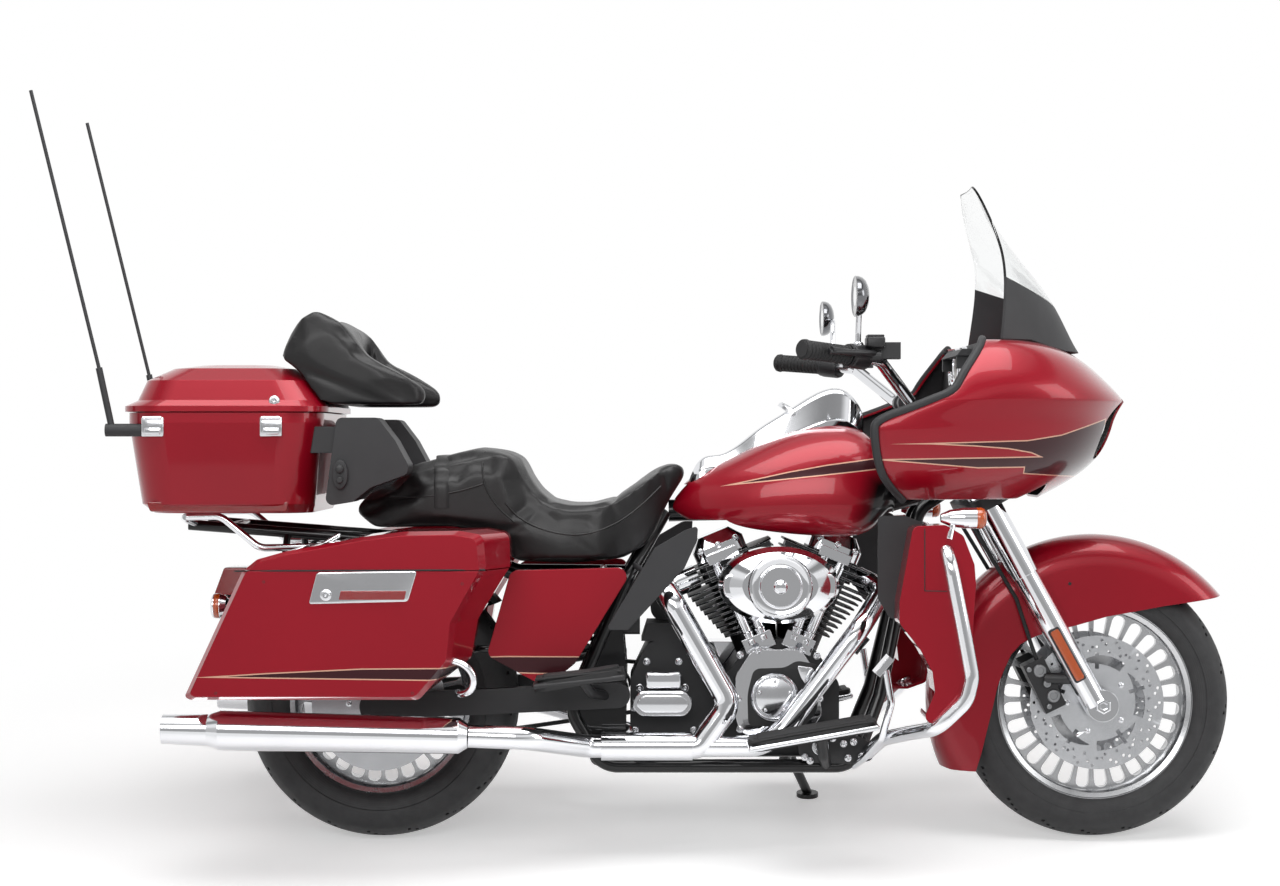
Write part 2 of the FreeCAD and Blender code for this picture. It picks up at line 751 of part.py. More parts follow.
def rocker_cover(side):
    low = rounded([V(a * rocker_half_length, b * rocker_half_width, head_end)
                   for a, b in ((1, 1), (1, -1), (-1, -1), (-1, 1))], fin_chamfer)
    middle = low.copy()
    middle.translate(V(0, 0, (rocker_end - head_end) * 0.5))
    top = rounded([V(a * rocker_half_length * 0.62, b * rocker_half_width * 0.7, rocker_end)
                   for a, b in ((1, 1), (1, -1), (-1, -1), (-1, 1))], fin_chamfer * 0.6)
    cover = fused([loft([low, middle], True), loft([middle, top], True)])
    lug = block(-rocker_half_length * 0.6, rocker_half_length * 0.6,
                -pushrod_offset - pushrod_radius * 1.2, -rocker_half_width + fin_thickness, head_end - fin_thickness * 2,
                head_end + fin_thickness * 3)
    return lean_cylinder(fused([cover, lug]).cut(octagon(head_fin_half, fin_half_width, fin_chamfer,
                                                        fin_start, head_end)), side)


rockers = Part.makeCompound([rocker_cover(-1), rocker_cover(1)])


def pushrods(side):
    pieces = []
    low = fin_start * 0.72
    for shift in (-pushrod_spread, pushrod_spread):
        pieces.append(rod(V(shift * 0.7, -pushrod_offset, low), V(shift, -pushrod_offset, head_end - fin_thickness * 2),
                          pushrod_radius))
    pieces.append(block(-pushrod_spread * 1.7, pushrod_spread * 1.7, -pushrod_offset - pushrod_radius * 1.3,
                        -pushrod_offset + pushrod_radius * 1.1, low - fin_thickness * 2, fin_start * 0.9))
    return lean_cylinder(fused(pieces), side)


cam_shares = ((0.0, 0.28), (0.05, 0.12), (0.35, 0.0), (0.8, 0.02), (1.0, 0.3), (0.96, 0.72), (0.76, 1.0),
              (0.2, 1.0), (0.0, 0.72))
cam_rear = 796.0
cam_low = 232.0
cam_length = 190.0
cam_height = 206.0
cam_cover = slab(rounded(side_points(cam_shares, cam_rear, cam_low, cam_length, cam_height), fin_chamfer),
                 -case_half_width - cam_cover_depth, -case_half_width)
timer_x = 882.0
timer_z = 334.0
timer = rod(V(timer_x, -case_half_width - cam_cover_depth, timer_z),
            V(timer_x, -case_half_width - cam_cover_depth - timer_depth, timer_z), timer_radius)
lifters = [pushrods(-1), pushrods(1)]
cam_cover = fused([cam_cover, timer])
primary_front_x = 905.0
primary_front_z = 332.0
primary_front_radius = 98.0
primary_rear_x = 692.0
primary_rear_z = 330.0
primary_rear_radius = 102.0


def two_circle_wire(x0, z0, r0, x1, z1, r1, y):
    slope = math.atan2(z1 - z0, x1 - x0)
    tilt = math.acos((r0 - r1) / math.hypot(x1 - x0, z1 - z0))

    def on(x, z, r, angle):
        return V(x + r * math.cos(angle), y, z + r * math.sin(angle))

    first = on(x0, z0, r0, slope + tilt)
    second = on(x0, z0, r0, slope - tilt)
    third = on(x1, z1, r1, slope - tilt)
    fourth = on(x1, z1, r1, slope + tilt)
    edges = [Part.Arc(first, on(x0, z0, r0, slope + math.pi), second), Part.LineSegment(second, third),
             Part.Arc(third, on(x1, z1, r1, slope), fourth), Part.LineSegment(fourth, first)]
    return Part.Wire([edge.toShape() for edge in edges])


primary_body = slab(two_circle_wire(primary_rear_x, primary_rear_z, primary_rear_radius, primary_front_x,
                                    primary_front_z, primary_front_radius, 0), primary_start,
                    primary_end - timer_depth)
derby = rod(V(primary_rear_x, primary_end - timer_depth, primary_rear_z),
            V(primary_rear_x, primary_end, primary_rear_z), primary_rear_radius * 0.72)
primary = fused([primary_body, derby])
gear_cover_x = 635.0
gear_cover_z = 318.0
gear_cover_half = 64.0
gear_cover_round = 25.0
gear_cover = slab(two_circle_wire(gear_cover_x - gear_cover_half + gear_cover_round, gear_cover_z, gear_cover_round,
                                  gear_cover_x + gear_cover_half - gear_cover_round, gear_cover_z,
                                  gear_cover_round * 0.98, 0),
                  -exhaust_y + shield_radius + fin_thickness, -gearbox_half_width + tube_radius * 2)
top_cover_shares = ((0.0, 0.0), (1.0, 0.0), (0.95, 1.0), (0.1, 1.0))
top_cover = slab(closed(side_points(top_cover_shares, gearbox_rear + gear_cover_round, gearbox_low + gearbox_height,
                                    gear_cover_half * 2, gear_cover_round * 1.6)),
                 -gearbox_half_width + tube_radius * 2, gearbox_half_width * 0.5)

starter_x = 640.0
starter_z = 519.0
starter_radius = 31.0
starter = rod(V(starter_x, -gear_cover_round * 0.4, starter_z), V(starter_x, primary_start - seam_gap, starter_z),
              starter_radius)
gearbox = fused([gearbox_body, top_cover, starter])
air_x = 888.0
air_z = 584.0
air_half_length = 132.0
air_half_height = 84.0
air_inner = 150.0
air_outer = 290.0


def oval(half_x, half_z, y, steps=16):
    return smooth([V(air_x + half_x * math.cos(2 * math.pi * i / steps), y,
                     air_z + half_z * math.sin(2 * math.pi * i / steps)) for i in range(steps)])


air_body = loft([oval(air_half_length * 0.94, air_half_height * 0.92, -air_inner),
                 oval(air_half_length, air_half_height, -air_inner * 1.2),
                 oval(air_half_length, air_half_height, -air_outer * 0.8),
                 oval(air_half_length * 0.9, air_half_height * 0.88, -air_outer * 0.94),
                 oval(air_half_length * 0.62, air_half_height * 0.6, -air_outer)], True)
air_ring_radius = 66.0
air_ring = lathe(V(air_x, -air_outer * 0.96, air_z), V(air_x, -air_outer - timer_depth, air_z),
                 [(0.0, air_ring_radius), (0.8, air_ring_radius * 0.9), (1.0, air_ring_radius * 0.68)])
throat = block(air_x - gear_cover_round, air_x + gear_cover_round, -air_inner, -rocker_tunnel_half * 0.3,
               air_z - gear_cover_round, air_z + gear_cover_round)
air_cleaner = fused([air_body, air_ring, throat]).cut(list(cylinder_pair.Solids))

battery = block(battery_rear, battery_rear + battery_length, -battery_half, battery_half, battery_low,
                battery_low + battery_height)
node("battery_box", battery.cut([frame_shape, gearbox]))
node("crankcase", fused([case]))
node("transmission", gearbox)
node("cylinders", cylinder_pair)
node("rocker_covers", rockers)
node("pushrod_tubes", Part.makeCompound([piece.cut([cam_cover, case, rockers]) for piece in lifters]))
node("engine_covers", Part.makeCompound([cam_cover, primary, gear_cover]))
node("air_cleaner", air_cleaner)


# Exhaust

def exhaust_pipes():
    y = -exhaust_y
    rear = tube([V(712, -46, 592), V(632, -66, 560), V(640, y, 572), V(782, y, 322), V(716, y, 229), V(680, y, 229)],
                pipe_bend * 0.64, shield_radius)
    front = tube([V(1078, -46, 592), V(1132, -96, 566), V(1066, y, 485), V(902, y, 268), V(850, y, 229),
                  V(695, y, 229)], pipe_bend, header_radius)
    outlet = tube([V(508, y, 229), V(470, y, 229), V(340, -muffler_spread + 12, 262),
                   V(muffler_clamp_x, -muffler_spread, muffler_front_z)], pipe_bend, header_radius + 2)
    collector = rod(V(700, y, 229), V(500, y, 229), collector_radius)
    cross = tube([V(630, y, 229), V(590, -150, 214), V(590, 150, 214), V(470, 240, 236),
                  V(340, muffler_spread - 12, 262), V(muffler_clamp_x, muffler_spread, muffler_front_z)],
                 pipe_bend, header_radius - 4)
    return fused([rear, front, collector, outlet, cross])


def muffler(side):
    y = side * muffler_spread
    tip = V(muffler_tip_x, y, muffler_tip_z)
    front = V(muffler_clamp_x, y, muffler_front_z)
    length = (front - tip).Length
    can_share = (muffler_rear_x - muffler_tip_x) / length
    front_share = (muffler_front_x - muffler_tip_x) / length
    shell = lathe(tip, front, [(0.0, muffler_tip_radius), (0.15, muffler_tip_radius * 1.1), (can_share, muffler_radius),
                               (front_share, muffler_radius * 0.9), (1.0, header_radius + 3)])
    bore = rod(tip - (front - tip) * 0.01, tip + (front - tip) * 0.2, muffler_tip_radius - 3)
    return shell.cut(bore)


pipes = exhaust_pipes()
mufflers = [muffler(-1), muffler(1)]
pipes = pipes.cut(mufflers + [cylinder_pair, rockers, case, cam_cover, gearbox, gear_cover])
node("exhaust_pipes", pipes)
node("mufflers", Part.makeCompound(mufflers))


# Fuel tank and console

tank_bottom_shares = ((0.0, 0.207), (0.095, 0.138), (0.21, 0.065), (0.33, 0.045), (0.46, 0.028), (0.58, 0.012),
                      (0.70, 0.0), (0.825, 0.004), (0.915, 0.085), (1.0, 0.20))
tank_top_shares = (0.24, 0.455, 0.61, 0.736, 0.866, 0.955, 1.0, 0.984, 0.87, 0.56)
tank_width_shares = (0.10, 0.36, 0.60, 0.78, 0.90, 0.97, 1.0, 0.98, 0.90, 0.62)
section_shares = ((0.0, 1.0), (0.5, 0.94), (0.84, 0.74), (1.0, 0.42), (0.95, 0.12), (0.76, 0.0), (0.3, 0.0))


def section(x, low, high, half):
    right = [V(x, a * half, low + b * (high - low)) for a, b in section_shares]
    left = [V(x, -a * half, low + b * (high - low)) for a, b in reversed(section_shares[1:])]
    return smooth(right + left)


def tank_form():
    wires = []
    for (along, low), high, wide in zip(tank_bottom_shares, tank_top_shares, tank_width_shares):
        wires.append(section(tank_rear + along * tank_length, tank_low + low * tank_height,
                             tank_low + high * tank_height, wide * tank_half_width))
    return loft(wires)


tank_front = tank_rear + tank_length
tunnel = block(tank_rear - cut_over, tank_front + cut_over, -tunnel_half, tunnel_half,
               tank_low - cut_over, tunnel_top)
rocker_tunnel = block(tank_rear + tank_length * 0.04, tank_rear + tank_length * 0.9, -rocker_tunnel_half,
                      rocker_tunnel_half, tank_low - cut_over, rocker_tunnel_top)
tank_whole = tank_form()
tank = tank_whole.cut([tunnel, rocker_tunnel])
console_shares = ((0.10, 0.40, 0.50), (0.25, 0.72, 0.8), (0.40, 0.93, 0.92), (0.55, 1.13, 1.0), (0.66, 1.27, 1.0),
                  (0.75, 1.33, 0.96), (0.82, 1.28, 0.84), (0.88, 1.08, 0.6))


def console_section(x, low, high, half):
    points = [(0, high), (0.6, high - 0.12 * (high - low)), (0.95, high - 0.5 * (high - low)), (1.0, low), (0.5, low)]
    right = [V(x, a * half, b) for a, b in points]
    left = [V(x, -a * half, b) for a, b in reversed(points[1:])]
    return rounded([V(x, half, low), V(x, -half, low), V(x, -half * 0.9, low + 0.7 * (high - low)),
                    V(x, -half * 0.5, high), V(x, half * 0.5, high), V(x, half * 0.9, low + 0.7 * (high - low))],
                   half * 0.3)


console = loft([console_section(tank_rear + a * tank_length, tank_low + tank_height * 0.36,
                                tank_low + b * tank_height, c * console_half) for a, b, c in console_shares])
console = console.cut(tank_whole)
console = max(console.Solids, key=lambda solid: solid.Volume)


# Seat

seat_outline_shares = ((0.0, 0.50), (0.02, 0.56), (0.12, 0.67), (0.168, 0.825), (0.255, 0.89), (0.30, 0.93),
                       (0.382, 0.985), (0.455, 1.0), (0.481, 0.966), (0.504, 0.863), (0.523, 0.744), (0.55, 0.63),
                       (0.59, 0.534), (0.646, 0.496), (0.71, 0.496), (0.781, 0.55), (0.845, 0.68), (0.90, 0.798),
                       (0.946, 0.863), (0.972, 0.882), (1.0, 0.798), (0.936, 0.508), (0.908, 0.30), (0.873, 0.145),
                       (0.80, 0.038), (0.663, 0.0), (0.481, 0.012), (0.408, 0.248), (0.30, 0.313), (0.064, 0.302),
                       (0.01, 0.43))
seat_plan_shares = ((0.0, 0.62), (0.10, 0.84), (0.25, 0.90), (0.42, 0.88), (0.52, 0.92), (0.62, 1.0), (0.74, 0.98),
                    (0.85, 0.74), (0.93, 0.48), (1.0, 0.36))


def crowned(shares, rear, low, length, height, half, edge, steps=((-1.0, 1.0), (-0.86, 0.35), (-0.5, 0.0),
                                                                  (0.5, 0.0), (0.86, 0.35), (1.0, 1.0))):
    wires = []
    for y_share, inset_share in steps:
        inset = inset_share * edge
        wires.append(rounded(side_points(shares, rear + inset, low + inset, length - 2 * inset, height - 2 * inset,
                                         y_share * half), edge * 2))
    return loft(wires, True)


seat_body = crowned(seat_outline_shares, seat_rear, seat_low, seat_length, seat_height, seat_half_width,
                    seat_height * 0.06)
seat_plan_left = [V(seat_rear + a * seat_length, b * seat_half_width, seat_low - cut_over) for a, b in
                  seat_plan_shares]
seat_plan = closed(seat_plan_left + [flip(p) for p in reversed(seat_plan_left)])
seat = seat_body.common(Part.Face(seat_plan).extrude(V(0, 0, seat_height + 2 * cut_over)))
seat = seat.cut([tank_whole, frame_shape])
seat = max(seat.Solids, key=lambda solid: solid.Volume)
node("fuel_tank", fused([tank]))
node("tank_console", console)
node("seat", seat)


# Saddlebags: shell and lid split along the side

bag_shares = ((0.0, 0.02), (0.19, 0.752), (0.24, 0.826), (0.335, 0.873), (0.597, 0.96), (0.73, 0.99),
              (0.911, 0.995), (0.99, 0.97), (1.0, 0.77), (0.983, 0.72), (0.90, 0.455), (0.885, 0.22), (0.778, 0.0),
              (0.016, 0.0))
bag_bevel_start_share = 0.87
bag_inner_share = 0.95
bag_face_share = 0.955


def bag_form(inset):
    wires = []
    stations = ((bag_inner + inset, bag_inner_share, 1.0), (bag_inner + (bag_bevel_y - bag_inner) * 0.3, 1.0, 1.0),
                (bag_bevel_y, 1.0, 1.0), (bag_round_y - inset, 1.0, 0.0), (bag_outer - inset, bag_face_share, 0.0))
    for y, grow, bevel in stations:
        low = bag_low + inset + (1 - grow) * bag_height / 2
        rear = bag_rear + inset + (1 - grow) * bag_length / 2
        points = []
        for a, b in bag_shares:
            shift = bevel * bag_bevel * (0.6 + 0.4 * b) if a > bag_bevel_start_share else 0
            points.append(V(rear + a * (bag_length * grow - 2 * inset) + shift, y,
                            low + b * (bag_height * grow - 2 * inset)))
        wires.append(rounded(points, bag_outer - bag_round_y))
    return loft(wires, True)


split_z = bag_low + bag_split_share * bag_height
bag_whole = bag_form(0)
frame_shape = frame_shape.cut([bag_whole, mirrored(bag_whole)])
bag_shell = bag_whole.cut(bag_form(bag_wall))
far = wheelbase
above = block(-far, far, 0, far, split_z + seam_gap / 2, far)
below = block(-far, far, 0, far, 0, split_z - seam_gap / 2)
bag_base = bag_shell.common(below)
bag_lid = bag_shell.common(above)


# Hinge: two fixed barrels on one pin and a moving barrel between them

hinge_barrel = 4.5
hinge_pin = 2.5
hinge_leaf = 2.5
hinge_length = 60.0


def side_hinge(x, y, z, fixed_z, moving_z, fixed_y, moving_y):
    third = hinge_length / 3
    pin = rod(V(x - hinge_length / 2, y, z), V(x + hinge_length / 2, y, z), hinge_pin)
    ends = [rod(V(x - hinge_length / 2, y, z), V(x - third / 2 - seat_gap, y, z), hinge_barrel),
            rod(V(x + third / 2 + seat_gap, y, z), V(x + hinge_length / 2, y, z), hinge_barrel)]
    y_low, y_high = sorted((y, fixed_y))
    leaves = []
    for a, b in ((-hinge_length / 2, -third / 2 - seat_gap), (third / 2 + seat_gap, hinge_length / 2)):
        leaves.append(block(x + a, x + b, y_low, y_high, z - hinge_leaf / 2, z + hinge_leaf / 2))
    fixed = fused(ends + leaves + [pin])
    barrel = rod(V(x - third / 2 + seat_gap, y, z), V(x + third / 2 - seat_gap, y, z), hinge_barrel)
    y_low, y_high = sorted((y, moving_y))
    z_low, z_high = sorted((z, moving_z))
    moving = fused([barrel, block(x - third / 2 + seat_gap, x + third / 2 - seat_gap, y_low, y_high,
                                  z_low, z_high)])
    moving = moving.cut(rod(V(x - third, y, z), V(x + third, y, z), hinge_pin + running_gap))
    return fixed, moving


bag_hinge_y = bag_inner - hinge_barrel * 2
bag_hinge_z = split_z
bag_hinges_x = (bag_rear + bag_length * 0.40, bag_rear + bag_length * 0.82)
for x in bag_hinges_x:
    fixed_leaf, moving_leaf = side_hinge(x, bag_hinge_y, bag_hinge_z, bag_hinge_z, bag_hinge_z + hinge_barrel * 2,
                                         bag_inner + bag_wall, bag_inner + bag_wall)
    inner_room = bag_form(bag_wall)
    lowered = fixed_leaf.copy()
    bag_base = fused([bag_base, lowered.cut(inner_room)])
    bag_lid = fused([bag_lid.cut(lowered), moving_leaf.cut(inner_room)])
    bag_base = bag_base.cut(moving_leaf)
node("saddlebags", both(bag_base))
node("saddlebag_lid_left", bag_lid)
node("saddlebag_lid_right", mirrored(bag_lid))


# Top box: base, lid, backrest

def plan_ring(x0, x1, half, z, corner):
    return rounded([V(x0, -half, z), V(x1, -half, z), V(x1, half, z), V(x0, half, z)], corner)


box_stations = ((0.0, 0.132, 0.915, 0.86), (0.09, 0.08, 0.93, 0.94), (0.9, 0.02, 0.978, 0.99), (1.0, 0.02, 0.978, 0.99))
lid_stations = ((0.0, 0.0, 1.0, 1.0), (0.12, 0.0, 1.0, 1.0), (0.24, 0.06, 0.98, 0.965), (0.66, 0.10, 0.92, 0.90),
                (0.92, 0.22, 0.82, 0.76), (1.0, 0.34, 0.72, 0.58))


def tiers(stations, low, high, inset):
    wires = []
    for up, start, end, wide in stations:
        z = low + up * (high - low)
        wires.append(plan_ring(box_rear + start * box_length + inset, box_rear + end * box_length - inset,
                               wide * box_half_width - inset, z, box_corner * wide - inset))
    return loft(wires, True)


box_base = tiers(box_stations, box_low, box_rim_z - seam_gap / 2, 0).cut(
    tiers(box_stations, box_low + box_wall, box_rim_z + cut_over, box_wall))
box_lid = tiers(lid_stations, box_rim_z + seam_gap / 2, box_top, 0).cut(
    tiers(lid_stations, box_rim_z - cut_over, box_top - box_wall, box_wall))
box_hinge_y = box_half_width + hinge_barrel
box_hinges_x = (box_rear + box_length * 0.3, box_rear + box_length * 0.7)
for x in box_hinges_x:
    fixed_leaf, moving_leaf = side_hinge(x, box_hinge_y, box_rim_z, box_rim_z, box_rim_z + hinge_barrel * 2,
                                         box_half_width - box_wall, box_half_width - box_wall / 2)
    box_room = tiers(box_stations, box_low + box_wall, box_rim_z + cut_over, box_wall)
    lid_room = tiers(lid_stations, box_rim_z - cut_over, box_top - box_wall, box_wall)
    box_base = fused([box_base.cut(moving_leaf), fixed_leaf.cut([box_room, lid_room])])
    box_lid = fused([box_lid.cut(fixed_leaf), moving_leaf.cut(lid_room)])
node("top_box_base", box_base)
node("top_box_lid", box_lid)

rest_shares = ((0.0, 0.47), (0.133, 0.89), (0.236, 1.0), (0.43, 0.87), (0.616, 0.55), (0.78, 0.4), (0.964, 0.21),
               (1.0, 0.12), (0.96, 0.0), (0.37, 0.0), (0.25, 0.05), (0.16, 0.28), (0.09, 0.39))
rest_outline = rounded(side_points(rest_shares, rest_rear, rest_low, rest_length, rest_height), rest_pad * 0.3)
rest_side = slab(rest_outline, -rest_half_width, rest_half_width)
rest_outer = plan_ring(rest_rear - rest_pad, rest_rear + rest_length, rest_half_width, rest_low - cut_over, rest_pad)
rest_inner_half = rest_half_width - rest_pad
rest_hollow = block(rest_rear + rest_pad * 2.4, rest_rear + rest_length + cut_over, -rest_inner_half,
                    rest_inner_half, rest_low - cut_over, rest_low + rest_height + cut_over)
rest = rest_side.common(Part.Face(rest_outer).extrude(V(0, 0, rest_height + 2 * cut_over))).cut(rest_hollow)
lid_whole = tiers(lid_stations, box_rim_z + seam_gap / 2, box_top, 0)
rest = rest.cut(lid_whole)
rest = max(rest.Solids, key=lambda solid: solid.Volume)
node("backrest", rest)

pod_shares = ((0.14, 1.0), (0.63, 1.0), (0.84, 0.74), (1.0, 0.46), (0.985, 0.36), (0.545, 0.21), (0.335, 0.05),
              (0.0, 0.0))
pod_rear = -96.0
pod_length = 181.0
pod_low = 757.0
pod_height = 192.0
pod_inner = 176.0
pod_outer = 286.0
pod_boss = block(box_rear + box_length * 0.9, pod_rear + pod_length * 0.4, pod_inner + box_wall,
                 pod_outer - box_corner / 2, pod_low + pod_height * 0.6, pod_low + pod_height * 0.9)
box_whole = tiers(box_stations, box_low, box_rim_z - seam_gap / 2, 0)
pod = slab(rounded(side_points(pod_shares, pod_rear, pod_low, pod_length, pod_height), hinge_length / 4),
           pod_inner, pod_outer)
pod = fused([pod, pod_boss]).cut([seat, box_whole])
node("speaker_pods", both(pod))

antenna_foot = V(-560, 262, 922)
antenna_step = V(-589, 262, 1057)
antenna_tip = V(-737, 262, 1659)
antenna_radius = 4.0
antenna_base_radius = 14.0
antenna_mount = rod(V(box_rear + box_length * 0.14, 262, 922), V(-560 - antenna_base_radius, 262, 922),
                    antenna_base_radius)
antenna = fused([antenna_mount.cut(box_whole), rod(antenna_foot, antenna_step, antenna_radius * 1.8),
                 rod(antenna_step, antenna_tip, antenna_radius)])
node("antennas", both(antenna))


# Fairing, dash, windshield and lamps

fairing_nose_shares = (0.68, 0.80, 0.90, 0.955, 1.0, 0.895, 0.82, 0.66)
fairing_rear_shares = (0.12, 0.05, 0.015, 0.0, 0.10, 0.27, 0.34, 0.38)
fairing_level_shares = (0.06, 0.16, 0.28, 0.46, 0.64, 0.82, 0.92, 1.0)
fairing_wide_shares = (0.72, 0.86, 0.95, 1.0, 0.99, 0.93, 0.86, 0.76)
fairing_rear = 1078.0
fairing_length = 610.0
plan_shares = ((0.0, 1.0), (0.28, 0.985), (0.52, 0.91), (0.72, 0.76), (0.86, 0.55), (0.96, 0.28), (1.0, 0.0))


def fairing_slice(nose, rear, level, wide, inset):
    x0 = fairing_rear + rear * fairing_length
    length = fairing_rear + nose * fairing_length - x0 - inset
    half = wide * fairing_half_width - inset
    z = fairing_low + level * (fairing_height - 2 * inset) + inset
    right = [V(x0 + a * length, -b * half, z) for a, b in plan_shares]
    left = [flip(p) for p in reversed(right[:-1])]
    nose_line = open_curve(right + left)
    back = Part.LineSegment(left[-1], right[0]).toShape()
    return Part.Wire([nose_line, back])


def fairing_form(inset):
    return loft([fairing_slice(*row, inset) for row in zip(fairing_nose_shares, fairing_rear_shares,
                                                           fairing_level_shares, fairing_wide_shares)], True)


def shield_slice(z, edge_x, centre_x, half, inset):
    points = []
    for b in (-1.0, -0.88, -0.6, 0.0, 0.6, 0.88, 1.0):
        a = 1 - abs(b) ** 2.2
        points.append(V(edge_x + a * (centre_x - edge_x) - inset, b * (half - inset * abs(b)), z))
    return points


shield_rows = ((0.0, 0.25, 1.0, 1.0), (0.2, 0.28, 0.86, 0.94), (0.37, 0.30, 0.725, 0.88), (0.6, 0.28, 0.47, 0.79),
               (0.8, 0.20, 0.27, 0.68), (0.93, 0.145, 0.17, 0.52), (1.0, 0.115, 0.12, 0.34))
shield_rear_x = 1300.0
shield_depth = 282.0


def shield_sheet():
    wires = []
    for up, edge, centre, wide in shield_rows:
        z = shield_low + up * (shield_top - shield_low)
        edge_x = shield_rear_x + edge * shield_depth
        centre_x = shield_rear_x + centre * shield_depth
        outer = shield_slice(z, edge_x, max(centre_x, edge_x + shield_wall), wide * shield_half_width, 0)
        inner = shield_slice(z, edge_x, max(centre_x, edge_x + shield_wall), wide * shield_half_width, shield_wall)
        wires.append(Part.Wire([open_curve(outer), Part.LineSegment(outer[-1], inner[-1]).toShape(),
                                open_curve(inner[::-1]), Part.LineSegment(inner[0], outer[0]).toShape()]))
    return loft(wires)


sheet = shield_sheet()
band_rear = V(1400, 0, 1250)
band_front = V(1544, 0, 1190)
band_cut = slab(closed([band_rear + (band_rear - band_front) * 2, band_front + (band_front - band_rear) * 2,
                        V(band_front.x + shield_depth, 0, 0), V(band_rear.x - shield_depth * 2, 0, 0)]), -far, far)
windshield = sheet.cut(band_cut)
fairing_solid = fairing_form(0)
fairing_room = fairing_form(fairing_wall)
shield_base = sheet.common(band_cut).cut(fairing_solid)
shield_base = max(shield_base.Solids, key=lambda solid: solid.Volume)
fairing = fairing_solid.cut(fairing_room)
open_back = block(fairing_rear - cut_over, fairing_rear + fairing_length * 0.4, -fairing_half_width * 0.66,
                  fairing_half_width * 0.66, fairing_low - cut_over, fairing_low + fairing_height * 0.9)
fork_room = block(fairing_rear - cut_over, 1480, -fairing_half_width * 0.5, fairing_half_width * 0.5,
                  fairing_low - cut_over, fairing_low + fairing_height * 0.3)
lamp_front = 1640.0
lamp_back = 1440.0
lamp_holes = [rod(V(lamp_back, y, lamp_z), V(lamp_front + 200, y, lamp_z), lamp_radius + seam_gap)
              for y in (-lamp_spread, lamp_spread)]
fairing = fairing.cut([open_back, fork_room] + lamp_holes)
fairing = max(fairing.Solids, key=lambda solid: solid.Volume)


def headlamp(y):
    return lathe(V(lamp_back, y, lamp_z), V(1600, y, lamp_z),
                 [(0.0, lamp_radius * 0.5), (0.45, lamp_radius * 0.9), (0.5, lamp_radius), (0.88, lamp_radius),
                  (0.95, lamp_radius * 0.8), (1.0, lamp_radius * 0.3)])


lamps = [headlamp(lamp_spread), headlamp(-lamp_spread)]
lamp_shelf = block(1410, 1450, -fairing_half_width * 0.6, fairing_half_width * 0.6, lamp_z - lamp_radius,
                   lamp_z + lamp_radius).common(fairing_room).cut(lamps)
dash_low = 1000.0
dash_x = 1322.0
dash = block(dash_x, dash_x + 24, -fairing_half_width, fairing_half_width, dash_low, fairing_low + fairing_height)
dash = dash.common(fairing_room)
hood = block(1262, dash_x + 24, -132, 132, 1088, 1104)
hood_sides = [block(1290, dash_x, y - 6, y + 6, 1060, 1088) for y in (-120, 120)]
dash_link = block(dash_x + 18, 1450, -40, 40, 1000, 1030)
dash_post = block(1410, 1450, -40, 40, lamp_z, 1030)
inner_panel = fused([dash, hood, dash_link, dash_post, lamp_shelf] + hood_sides).cut(lamps + [sheet, fairing])
inner_panel = max(inner_panel.Solids, key=lambda solid: solid.Volume)
node("fairing", fairing)
node("windshield", windshield)
node("windshield_base", shield_base)
node("headlamps", Part.makeCompound([lamp.cut(fairing) for lamp in lamps]))


# Lower fairings and engine guard

lower_shares = ((0.18, 0.993), (0.60, 1.0), (0.833, 0.947), (0.98, 0.80), (1.0, 0.697), (0.883, 0.04), (0.60, 0.0),
                (0.296, 0.0), (0.463, 0.155), (0.432, 0.258), (0.265, 0.375), (0.0, 0.504), (0.0, 0.606))
lower_outline = rounded(side_points(lower_shares, lower_rear, lower_low, lower_length, lower_height), guard_radius)
lower_skin = slab(lower_outline, lower_inner, lower_outer)
lower_core = slab(rounded(side_points(lower_shares, lower_rear + lower_wall, lower_low + lower_wall,
                                      lower_length - 2 * lower_wall, lower_height - 2 * lower_wall), guard_radius),
                  lower_inner - cut_over, lower_outer - lower_wall)
lower_fairing = lower_skin.cut(lower_core)
guard_y = lower_outer + guard_radius
guard_points = [V(1228, 40, 700), V(1232, guard_y, 672), V(1262, guard_y, 520), V(1284, guard_y, 400), V(1272, guard_y, 350),
                V(1214, guard_y - 12, 292), V(1165, 290, 268), V(1118, 196, 244), V(1085, rail_spread, 200)]
guard_bar = tube(guard_points, guard_bend, guard_radius)
lower_fairing = lower_fairing.cut(guard_bar)
lining_shares = ((0.0, 1.0), (0.6, 1.0), (1.0, 0.93), (1.0, 0.2), (0.75, 0.03), (0.27, 0.0), (0.0, 0.2))
lining = slab(rounded(side_points(lining_shares, 1097, 515, 100, 222), 12), lower_inner - 6, lower_inner)
lining = lining.cut([frame_shape, guard_bar, fairing, lower_fairing])
guards = both(guard_bar.cut(frame_shape))
node("inner_fairing", Part.makeCompound([inner_panel, lining, mirrored(lining)]))
node("lower_fairings", both(lower_fairing))
node("engine_guard", fused(list(guards.Solids)))


# Rear suspension, belt, rear fender

def swing_arm():
    axle_end = rod(V(0, swing_spread - swing_width, tyre_radius), V(0, swing_spread + swing_width / 2, tyre_radius),
                   axle_boss_radius)
    arm = slab(closed([V(0, 0, tyre_radius - swing_height / 2), V(swing_pivot_x, 0, swing_pivot_z - swing_height / 2),
                       V(swing_pivot_x, 0, swing_pivot_z + swing_height / 2),
                       V(0, 0, tyre_radius + swing_height / 2)]),
               swing_spread - swing_width / 2, swing_spread + swing_width / 2)
    pivot_end = rod(V(swing_pivot_x, swing_spread - swing_width / 2, swing_pivot_z),
                    V(swing_pivot_x, swing_spread + swing_width / 2, swing_pivot_z), swing_height / 2)
    return [axle_end, arm, pivot_end]


